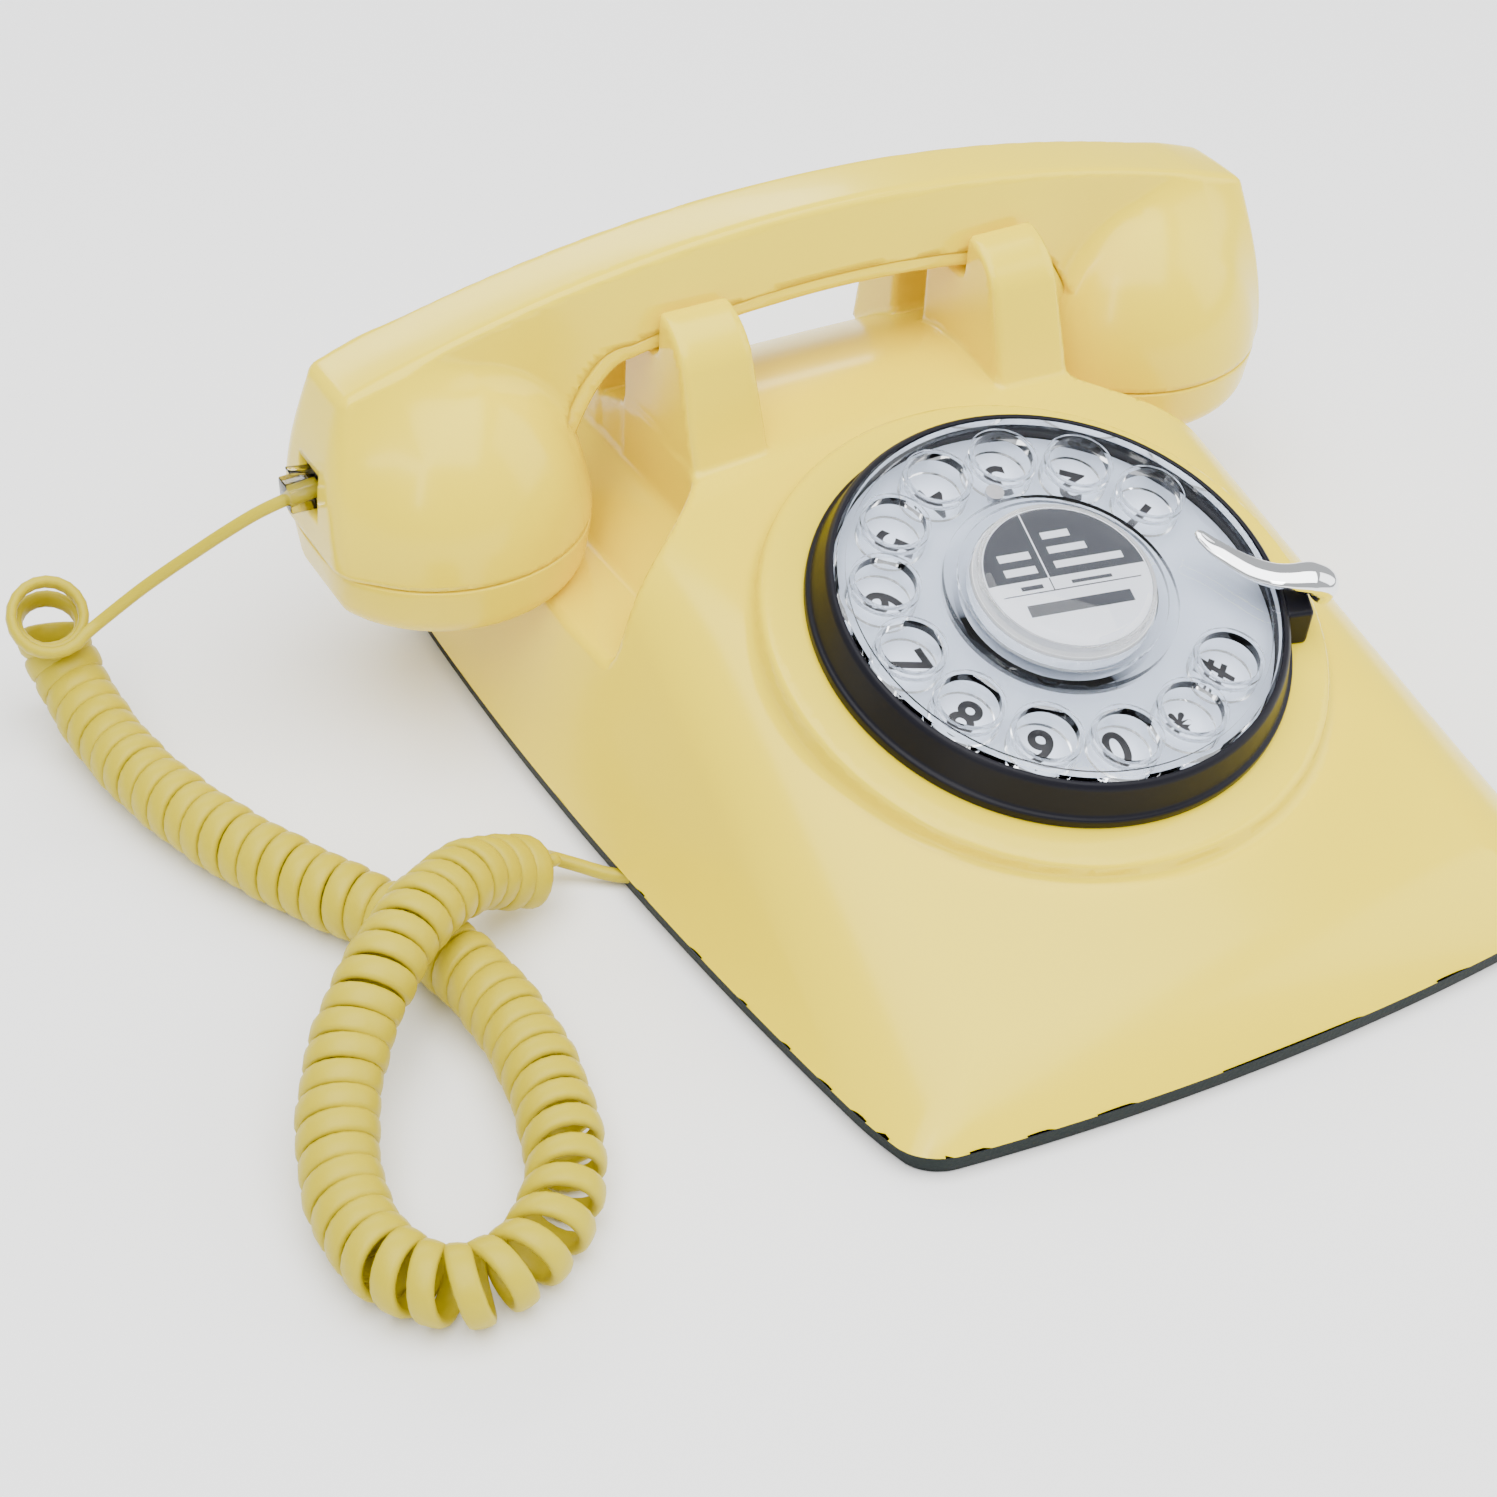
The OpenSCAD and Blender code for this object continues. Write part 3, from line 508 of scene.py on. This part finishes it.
# Housing: one moulded shell with the sloped face, the bezel, the prongs and the notches for the cups
housing = {
    "front": -112.0,
    "back": 112.0,
    "bottom": 4.9,
    "footHalf": 77.0,
    "crestHalf": 70.0,
    "faceTilt": 18.4,
    "faceStart": 13.0,
    "saddle": 61.8,
    "edge": 11.0,
    "wall": 4.4,
    "lipLean": 22.0,
    "bezel": 57.5,
    "opening": 35.5,
    "prongInner": 28.0,
    "prongOuter": 45.4,
    "prongTop": 85.5,
    "ledge": 75.8,
    "notchRadius": 54.0,
    "notchFloor": 32.0,
    "cupX": 89.0,
    "cupY": 71.0,
    "step": 1.4,
}


def blockField(x, y, z):
    h = housing
    along = y - h["front"]
    t = along / 162
    foot = h["footHalf"] + 24.2 * t - 13 * t * t
    crest = h["crestHalf"] - 8.6 * along / 152
    crown = 1.2 * (x / 40) ** 2
    slope = math.tan(math.radians(h["faceTilt"]))
    faceHeight = h["faceStart"] + along * slope
    face = (z + crown - faceHeight) * math.cos(math.radians(h["faceTilt"]))
    saddle = z + 0.8 * crown - h["saddle"] + np.maximum(y - 40, 0) * 0.03
    rear = ((y - 78) * 27 + (z + 0.6 * crown - 60.5) * 34) / 43.4
    top = roundedMax(14, face, saddle, rear)
    rise = np.clip(np.minimum(faceHeight, 62.5) - h["bottom"], 8, 60)
    lean = (foot - crest) / rise
    side = (np.abs(x) - foot + lean * (z - h["bottom"])) / np.sqrt(1 + lean ** 2)
    lip = math.radians(h["lipLean"])
    bowed = h["front"] + 4.5 * (x / h["footHalf"]) ** 2
    front = (bowed + (z - h["bottom"]) * math.tan(lip) - y) * math.cos(lip)
    back = y - h["back"] + 0.04 * (z - h["bottom"])
    walls = roundedMax(7, side, front, back)
    return roundedMax(h["edge"], top, walls)


def notchField(x, y, z):
    h = housing
    ax = np.abs(x)
    fromCup = np.where(y < h["cupY"], np.hypot(ax - h["cupX"], y - h["cupY"]), np.abs(ax - h["cupX"]))
    floor = h["notchFloor"] + 12 * np.clip((h["prongOuter"] + 13 - ax) / 13, 0, 1)
    return roundedMax(1.5, fromCup - h["notchRadius"], (floor - z) * 0.8, h["prongOuter"] - ax)


def prongField(x, y, z):
    h = housing
    middle = (h["prongInner"] + h["prongOuter"]) / 2
    half = (h["prongOuter"] - h["prongInner"]) / 2
    across = np.abs(np.abs(x) - middle) - half + 0.035 * np.maximum(z - h["saddle"], 0)
    lean = ((y - 40) * -17.5 + (z - 62) * 5.5) / 18.34
    nose = roundedMax(9, lean, z - h["prongTop"])
    frontTip = roundedMax(1.3, nose, y - 56.5)
    ledge = np.maximum.reduce([50 - y, y - 71, z - h["ledge"]])
    rearNose = roundedMax(6, ((y - 97) * 30 + (z - 62) * 6) / 30.6, z - h["prongTop"])
    rearTip = roundedMax(1.3, rearNose, 85.5 - y)
    rearLedge = np.maximum.reduce([82 - y, y - 92, z - h["ledge"]])
    profile = np.minimum(roundedMin(1.0, frontTip, ledge), roundedMin(1.0, rearTip, rearLedge))
    return np.maximum(roundedMax(1.3, profile, across), 45 - z)


def bezelField(x, y, z):
    px, py, pz = x - dialOrigin[0], y - dialOrigin[1], z - dialOrigin[2]
    height = px * dialAxis[0] + py * dialAxis[1] + pz * dialAxis[2]
    across = py * dialUp[1] + pz * dialUp[2]
    radius = np.hypot(px, across)
    disc = roundedMax(1.4, radius - housing["bezel"] + 0.12 * height, height)
    return np.maximum(disc, -12 - height), radius, height


def openShellField(x, y, z):
    h = housing
    block = roundedMax(1.4, blockField(x, y, z), -notchField(x, y, z))
    bezel, radius, height = bezelField(x, y, z)
    outer = roundedMin(1.2, block, prongField(x, y, z))
    outer = roundedMin(2.0, outer, bezel)
    wall = h["wall"] + 8 * np.clip((11 - z) / 5, 0, 1)
    shell = roundedMax(0.5, outer, -(block + wall))
    shell = roundedMax(0.5, shell, h["opening"] - radius + np.maximum(-height - 25, 0))
    jackHole = np.maximum.reduce([np.abs(x - 50) - 8, np.abs(z - 13) - 7, 97 - y])
    return np.maximum(shell, -jackHole)


def housingField(x, y, z):
    return roundedMax(0.2, openShellField(x, y, z), housing["bottom"] - z)


def buildHousing():
    piece = addShell("yellowHousing", housingField, (-93, -115, 2.24), (93, 115, 88), housing["step"],
                     yellowPlastic, shading=openShellField, rim=openShellField, floor=housing["bottom"])
    finishPiece(piece, "root", ["housing"])


def baseOutline(x, y, z):
    return blockField(x, y, np.full_like(z, housing["bottom"] + 0.3)) + 1.0


def baseField(x, y, z):
    return roundedMax(0.5, baseOutline(x, y, z), z - housing["bottom"] + 0.3, 0.4 - z)


def buildBase():
    piece = addShell("blackBase", baseField, (-93, -115, -1.1), (93, 115, 6.4), 1.2, baseBlack,
                     rim=baseOutline, floor=0.4)
    finishPiece(piece, "root", ["base_plate"])


buildHousing()
buildBase()

# Handset: a bowed bar of tapering section that swells into two domed cups, each closed by a screw cap
handset = {
    "x": -4.0,
    "y": 68.5,
    "cupX": 84.5,
    "cupRadius": 31.0,
    "seam": 44.5,
    "capBottom": 31.0,
    "crest": 98.6,
    "bow": 0.0015,
    "under": 80.0,
    "end": 113.5,
    "shift": 4.5,            # how far the inner parts come in from their drawn places
    "stripHeight": 3.0,
    "step": 1.25,
}


def fromMiddle(x):
    return np.abs(x - handset["x"])


def underHeight(x):
    ax = fromMiddle(x)
    return handset["under"] - 0.0022 * np.minimum(ax, 46) ** 2 - 0.09 * np.maximum(ax - 46, 0) ** 2


def barField(x, y, z):
    h = handset
    ax, u = fromMiddle(x), np.abs(y - h["y"])
    crest = h["crest"] - h["bow"] * ax * ax - 0.005 * u * u
    low = 12.2 - 1.2 * (ax / 100) ** 2
    high = 8.0 + 1.0 * (ax / 100) ** 2
    base = np.maximum(underHeight(x), h["seam"])
    half = high + (low - high) * np.clip((crest - z) / (crest - base), 0, 1)
    side = (u - half) * 0.95
    end = ax - h["end"] + 0.0045 * np.maximum(z - 48, 0) ** 2
    fall = 0.0044 * np.minimum(ax, 46) + 0.18 * np.maximum(ax - 46, 0)
    under = (underHeight(x) - z) / np.sqrt(1 + fall ** 2)
    shaped = roundedMax(1.6, (z - crest), side)
    return roundedMax(3.0, shaped, end), under


def domeField(x, y, z):
    h = handset
    radius = np.hypot(fromMiddle(x) - h["cupX"], y - h["y"])
    up = np.maximum(z - h["seam"], 0)
    wide, tall = h["cupRadius"], 36.5
    k = np.sqrt((radius / wide) ** 2 + (up / tall) ** 2)
    steep = np.sqrt((radius / wide ** 2) ** 2 + (up / tall ** 2) ** 2)
    return k * (k - 1) / np.maximum(steep, 1e-4)


def handsetField(x, y, z):
    bar, under = barField(x, y, z)
    dome = domeField(x, y, z)
    bar = roundedMax(1.0, bar, under)
    blendRadius = 3.5 + 6.5 * np.clip((fromMiddle(x) - 80) / 16, 0, 1)
    body = roundedMin(blendRadius, bar, dome)
    body = roundedMax(2.0, body, z - handset["crest"] + handset["bow"] * fromMiddle(x) ** 2)
    body = roundedMax(2.5, body, fromMiddle(x) - handset["end"] + 0.0045 * np.maximum(z - 48, 0) ** 2)
    stripRoom = [under + handset["stripHeight"] + 0.25, 62 - fromMiddle(x), dome - 0.3]
    body = roundedMax(0.4, body, np.minimum.reduce(stripRoom))
    jack = np.maximum.reduce([x - handset["x"] + 100, np.abs(y - handset["y"]) - 4.6, np.abs(z - 58) - 5])
    body = roundedMax(0.4, body, -jack)
    return roundedMax(0.5, body, handset["seam"] + 0.2 - z)


def stripField(x, y, z):
    bar, under = barField(x, y, z)
    narrower = roundedMax(1.2, bar + 0.35, under)
    return roundedMax(0.3, narrower, -(under + handset["stripHeight"]), fromMiddle(x) - 61.7,
                      -2 - domeField(x, y, z))


def capField(x, y, z):
    h = handset
    ax, u = fromMiddle(x), np.abs(y - h["y"])
    circle = np.hypot(ax - h["cupX"], y - h["y"]) - h["cupRadius"]
    foot = roundedMax(2.5, circle, ax - h["end"]) + 0.16 * (h["seam"] - z)
    body = roundedMax(6.0, foot, h["capBottom"] - z)
    hole = np.hypot(ax - h["cupX"], y - h["y"])
    angle = np.arctan2(y - h["y"], ax - h["cupX"])
    spoke = np.round(angle / (math.pi / 3)) * math.pi / 3
    ringHole = np.hypot(hole * np.cos(angle) - 7 * np.cos(spoke), hole * np.sin(angle) - 7 * np.sin(spoke))
    holes = np.maximum(np.minimum(hole, ringHole) - 1.4, z - 38)
    body = roundedMax(0.4, body, -holes)
    return roundedMax(0.5, body, z - h["seam"] + 0.2)


def buildHandset():
    step = handset["step"]
    shell = addShell("handsetBody", handsetField, (-123, 36, 43), (123, 106, 102), step, yellowPlastic)
    finishPiece(shell, "handset", ["handset_shell"])
    strip = addShell("gripStrip", stripField, (-69, 52, 46), (61, 86, 86), 1.1, yellowPlastic)
    finishPiece(strip, "handset", ["handset_grip"])
    for name, low, high, node in (("mouthCap", -123, -53, "mouth_cap"), ("earCap", 45, 115, "ear_cap")):
        cap = addShell(name, capField, (low, 34, 29), (high, 105, 47), 1.0, yellowPlastic)
        finishPiece(cap, "handset", [node])


buildHandset()
print("handset built")


# Turned pieces of the dial
def roundedProfile(corners, radius, steps=4):
    # each corner of a closed outline becomes a short curve
    outline = []
    count = len(corners)
    for i in range(count):
        before, here, after = (np.array(corners[(i + k) % count], float) for k in (-1, 0, 1))
        inward, outward = before - here, after - here
        reach = min(radius, np.linalg.norm(inward) * 0.45, np.linalg.norm(outward) * 0.45)
        if here[0] < 1e-6:
            outline.append(here)
            continue
        a = here + inward / np.linalg.norm(inward) * reach
        b = here + outward / np.linalg.norm(outward) * reach
        for k in range(steps + 1):
            t = k / steps
            outline.append((1 - t) ** 2 * a + 2 * t * (1 - t) * here + t * t * b)
    return outline


def turned(name, profile, material, matrix, segments=128):
    # profile runs clockwise seen with the axis on the left, so that the faces look outward
    count = len(profile)
    points, faces = [], []
    for i in range(segments):
        angle = 2 * math.pi * i / segments
        points += [(p[0] * math.cos(angle), p[0] * math.sin(angle), p[1]) for p in profile]
    for i in range(segments):
        for j in range(count):
            a, b = i * count + j, i * count + (j + 1) % count
            c, d = ((i + 1) % segments) * count + (j + 1) % count, ((i + 1) % segments) * count + j
            faces.append((a, d, c, b))
    piece = addPiece(name, points, faces, material, matrix)
    mergeClose(piece)
    return piece


def mergeClose(piece):
    work = bmesh.new()
    work.from_mesh(piece.data)
    bmesh.ops.remove_doubles(work, verts=work.verts, dist=1e-6)
    bmesh.ops.recalc_face_normals(work, faces=work.faces)
    work.to_mesh(piece.data)
    work.free()


def softened(name, node, body, material, width, segments=2, angle=35, move=None):
    # a carried-over part with small moulded edges
    piece = bpy.data.objects.new(name, nodes[node].data.copy())
    bpy.context.scene.collection.objects.link(piece)
    if move:
        for vertex in piece.data.vertices:
            vertex.co = move(vertex.co)
    piece.data.materials.clear()
    piece.data.materials.append(material)
    bevel = piece.modifiers.new("mouldedEdges", "BEVEL")
    bevel.width = width * mm
    bevel.segments = segments
    bevel.limit_method = "ANGLE"
    bevel.angle_limit = math.radians(angle)
    bevel.harden_normals = True
    return finishPiece(piece, body, [node])


dial = {
    "ring": 49.0,
    "ringInner": 44.8,
    "holePitch": 34.8,
    "holeStart": 27.0,
    "holeStep": 26.0,
    "plateTop": 3.1,
    "numeralRadius": 33.6,
    "numeralSize": 11.0,
    "numerals": "1234567890*#",
    "card": 16.8,
    "cardTop": 14.4,
    "cardTurn": -8.0,
    "windowTop": 15.6,
    "stopTurn": -18.0,
}


def buildRingAndPlate():
    outer, inner = dial["ring"], dial["ringInner"]
    outline = roundedProfile([(inner, 0), (inner, 9.6), (outer - 3.4, 9.6), (outer - 2.6, 8.8),
                              (outer - 1.0, 2.6), (outer, 2.2), (outer, 0)], 0.45)
    finishPiece(turned("dialRing", outline, blackPlastic, dialMatrix), "root", ["dial_ring"])
    top = dial["plateTop"]
    outline = roundedProfile([(8.5, 0), (8.5, top), (44.6, top), (44.6, 0)], 0.15)
    finishPiece(turned("numberPlate", outline, plateWhite, dialMatrix), "root", ["number_plate"])


def numeralPoints(text, size):
    # outline of one numeral as a thin raised print
    data = bpy.data.curves.new("numeral", "FONT")
    data.body = text
    data.size = size * mm
    data.align_x = "CENTER"
    data.align_y = "CENTER"
    data.extrude = 0.03 * mm
    data.offset = 0.022 * size * mm
    data.resolution_u = 6
    shape = bpy.data.objects.new("numeral", data)
    bpy.context.scene.collection.objects.link(shape)
    bpy.context.view_layer.update()
    mesh = bpy.data.meshes.new_from_object(shape.evaluated_get(bpy.context.evaluated_depsgraph_get()))
    points = np.array([v.co[:] for v in mesh.vertices]) / mm
    faces = [tuple(p.vertices) for p in mesh.polygons]
    bpy.data.objects.remove(shape)
    return points, faces


def buildNumerals():
    points, faces, used = [], [], 0
    for i, text in enumerate(dial["numerals"]):
        angle = math.radians(dial["holeStart"] + i * dial["holeStep"])
        shape, sides = numeralPoints(text, dial["numeralSize"])
        middle = (shape.min(0) + shape.max(0)) / 2
        shape = shape - [middle[0], middle[1], 0]
        turn = angle + math.pi / 2
        shape = shape @ np.array([[math.cos(turn), math.sin(turn), 0],
                                  [-math.sin(turn), math.cos(turn), 0], [0, 0, 1]])
        centre = (dial["numeralRadius"] * math.cos(angle), dial["numeralRadius"] * math.sin(angle), 0)
        shape = shape + centre + np.array([0, 0, dial["plateTop"] + 0.04])
        points.append(shape)
        faces += [tuple(k + used for k in f) for f in sides]
        used += len(shape)
    piece = addPiece("dialNumerals", np.concatenate(points), faces, numeralBlack, dialMatrix)
    for polygon in piece.data.polygons:
        polygon.use_smooth = False
    finishPiece(piece, "root")


def discPiece(points, height, thick):
    # a closed thin plate over a flat outline that runs anticlockwise
    count = len(points)
    low = [(x, y, height) for x, y in points]
    high = [(x, y, height + thick) for x, y in points]
    faces = [tuple(range(count - 1, -1, -1)), tuple(range(count, 2 * count))]
    faces += [(j, (j + 1) % count, count + (j + 1) % count, count + j) for j in range(count)]
    return low + high, faces


def bar(x, y, width, tall):
    return [(x, y), (x + width, y), (x + width, y + tall), (x, y + tall)]


def flatPrint(name, outlines, height, material, matrix, body):
    points, faces = [], []
    for outline in outlines:
        shape, sides = discPiece(outline, height, 0.02)
        faces += [tuple(k + len(points) for k in f) for f in sides]
        points += shape
    piece = addPiece(name, points, faces, material, matrix)
    for polygon in piece.data.polygons:
        polygon.use_smooth = False
    return finishPiece(piece, body)


def buildLabel():
    turn = dialMatrix @ Matrix.Rotation(math.radians(dial["cardTurn"]), 4, "Z")
    radius, top = dial["card"] - 0.3, dial["cardTop"] - 0.3
    card = roundedProfile([(0, top - 1.7), (0, top), (dial["card"], top), (dial["card"], top - 1.7)], 0.08)
    finishPiece(turned("labelCard", card, cardWhite, turn, 96), "button", ["label_card"])
    arc = [(radius * math.cos(a), radius * math.sin(a)) for a in np.linspace(0.01, math.pi - 0.01, 60)]
    flatPrint("labelDark", [arc], top + 0.01, printDark, turn, "button")
    paleBars = [bar(-4.1, 0, 0.35, radius - 0.6), bar(-1.6, 9.2, 6.0, 1.7), bar(-1.6, 5.6, 8.2, 1.7),
                bar(-1.6, 2.0, 14.6, 1.7), bar(-12.4, 5.2, 6.8, 1.8), bar(-12.4, 1.6, 6.8, 1.8)]
    flatPrint("labelPaleBars", paleBars, top + 0.035, cardWhite, turn, "button")
    darkBars = [bar(-14.6, -3.1, 29.2, 0.25), bar(-4.1, -2.9, 0.25, 2.9), bar(-10.5, -2.1, 4.6, 1.0),
                bar(0.2, -2.1, 8.6, 0.8), bar(-11.0, -8.4, 22.0, 2.8)]
    flatPrint("labelDarkBars", darkBars, top + 0.01, printDark, turn, "button")
    edge, crown = dial["card"], dial["windowTop"]
    window = roundedProfile([(0, top + 0.2), (0, crown), (edge - 1.2, crown - 0.15),
                             (edge + 0.9, crown - 0.8), (edge + 1.5, top - 1.7), (edge + 0.2, top - 1.7), (edge + 0.2, top + 0.2)], 0.3)
    piece = turned("labelWindow", window, clearPlastic, dialMatrix, 96)
    finishPiece(piece, "button", ["label_window"])


def buildStop():
    # chrome hook with a rounded heel over its screw and a tapered tip over the holes
    path = catmullRom([(53.6, -1.2, 8.6), (54.0, -1.2, 10.4), (53.4, -1.1, 12.2),
                       (50.6, -0.9, 13.4), (47, -0.6, 13.3), (43.4, 0.6, 12.5), (39.8, 2.8, 11.9), (36.4, 5.6, 11.7), (33.2, 8.2, 12.0),
                       (30.6, 10.2, 12.9), (29.6, 11.2, 13.5)], 8)
    share = np.linspace(0, 1, len(path))
    stations = [0, 0.1, 0.2, 0.3, 0.42, 0.6, 0.8, 0.93, 1]
    wide = np.interp(share, stations, [2.6, 3.0, 3.7, 3.9, 3.3, 2.9, 2.1, 1.3, 0.5])
    thick = np.interp(share, stations, [2.4, 2.7, 3.0, 2.6, 1.9, 1.4, 1.1, 0.9, 0.4])
    tangents = unitRows(np.gradient(path, axis=0))
    points, faces = tubeMesh(path, carriedFrames(tangents, (0, 1, 0)), wide, thick, 20)
    turn = dialMatrix @ Matrix.Rotation(math.radians(dial["stopTurn"]), 4, "Z")
    piece = addPiece("fingerStop", points, faces, chrome, turn)
    finishPiece(piece, "root", ["finger_stop"])
    low = [(45.6, -7.6), (52.6, -6.8), (52.6, 3.6), (45.6, 4.4)]
    high = [(45.6, -6.8), (51.6, -6.0), (51.6, 2.8), (45.6, 3.6)]
    points = [(x, y, -0.2) for x, y in low] + [(x, y, 9.0) for x, y in high]
    faces = [(3, 2, 1, 0), (4, 5, 6, 7), (0, 1, 5, 4), (1, 2, 6, 5), (2, 3, 7, 6), (3, 0, 4, 7)]
    bracket = addPiece("stopBracket", points, faces, blackPlastic, turn)
    bevel = bracket.modifiers.new("mouldedEdges", "BEVEL")
    bevel.width = 0.9 * mm
    bevel.segments = 3
    bevel.harden_normals = True
    finishPiece(bracket, "root", ["finger_stop_bracket"])


def inward(point):
    side = 1 if point.x > 0 else -1
    across = (handset["x"] - side * handset["shift"]) * mm
    return Vector((point.x + across, point.y - 2.5 * mm, point.z - 0.5 * mm))


for name, node, finish, kind in (("earCapsule", "ear_capsule", baseBlack, "base_black"),
                                 ("mouthCapsule", "mouth_capsule", baseBlack, "base_black"),
                                 ("balanceWeights", "handset_weight", steel, "steel_plain")):
    softened(name, node, "handset", finish, 0.3, move=inward)
softened("handsetSocket", "handset_jack", "handset", blackPlastic, 0.3,
         move=lambda point: inward(point) + Vector((2.8 * mm, 0, 0)))
buildRingAndPlate()
buildNumerals()
buildLabel()
buildStop()
radial = dialMatrix.to_3x3() @ Matrix.Rotation(math.radians(dial["stopTurn"]), 3, "Z") @ Vector((1, 0, 0))
softened("stopScrew", "finger_stop_screw", "root", steel, 0.1,
         move=lambda point: point - radial * 5.5 * mm)
softened("fingerWheel", "finger_wheel", "dial", clearPlastic, 0.22)
print("dial built")

# Finishes of the parts that are shown as they are
finishes = {
    footRubber: ["rubber_feet"],
    buttonWhite: ["button_cap", "button_stem", "hook_plungers"],
    blackPlastic: ["hook_bar", "line_jack", "base_jack"],
    baseBlack: ["hook_post", "hook_switch", "loudspeaker"],
    steel: ["housing_screws", "ballast_weight", "wheel_screw", "dial_shaft", "dial_plate", "dial_plate_screws",
            "return_spring", "governor_drum", "governor_bridge", "hook_spring",
            "ringer_frame", "gong_screws", "clapper"],
    brass: ["dial_bush", "drive_gear", "governor_pinion", "bell_gongs"],
    copper: ["ringer_coil"],
    boardGreen: ["button_switch", "circuit_board"],
    plugClear: ["base_plug"],
}
for material, names in finishes.items():
    for name in names:
        nodes[name].data.materials.clear()
        nodes[name].data.materials.append(material)
print("finishes set")

# Pale studio
studio = {"world": 0.68, "key": 70.0, "fill": 13.0, "strip": 4.0, "rim": 9.0}


def addLight(name, place, target, size, power):
    data = bpy.data.lights.new(name, "AREA")
    data.shape = "RECTANGLE"
    data.size, data.size_y = size
    data.energy = power
    light = bpy.data.objects.new(name, data)
    bpy.context.scene.collection.objects.link(light)
    light.location = place
    light.rotation_mode = "QUATERNION"
    light.rotation_quaternion = (Vector(target) - Vector(place)).to_track_quat("-Z", "Y")


def buildStudio():
    world = bpy.data.worlds.new("paleRoom")
    bpy.context.scene.world = world
    world.use_nodes = True
    background = world.node_tree.nodes["Background"]
    background.inputs["Color"].default_value = (0.96, 0.98, 1.0, 1)
    background.inputs["Strength"].default_value = studio["world"]
    floorPoints = [(-4000, -4000, 0), (4000, -4000, 0), (4000, 4000, 0), (-4000, 4000, 0)]
    pale = plasticMaterial("paleFloor", (0.93, 0.93, 0.93), 0.7, tint=0.0, bump=0.0)
    addPiece("floor", floorPoints, [(0, 1, 2, 3)], pale)
    addLight("keyPanel", (-0.15, -0.35, 1.6), (0, 0, 0.05), (2.0, 2.0), studio["key"])
    addLight("fillPanel", (1.3, -0.6, 0.8), (0, 0, 0.05), (1.2, 1.2), studio["fill"])
    addLight("rimPanel", (0.1, 1.3, 0.9), (0, 0, 0.08), (1.4, 0.2), studio["rim"])
    addLight("stripPanel", (-0.9, -0.9, 0.9), (0, 0, 0.05), (0.15, 0.9), studio["strip"])


buildStudio()
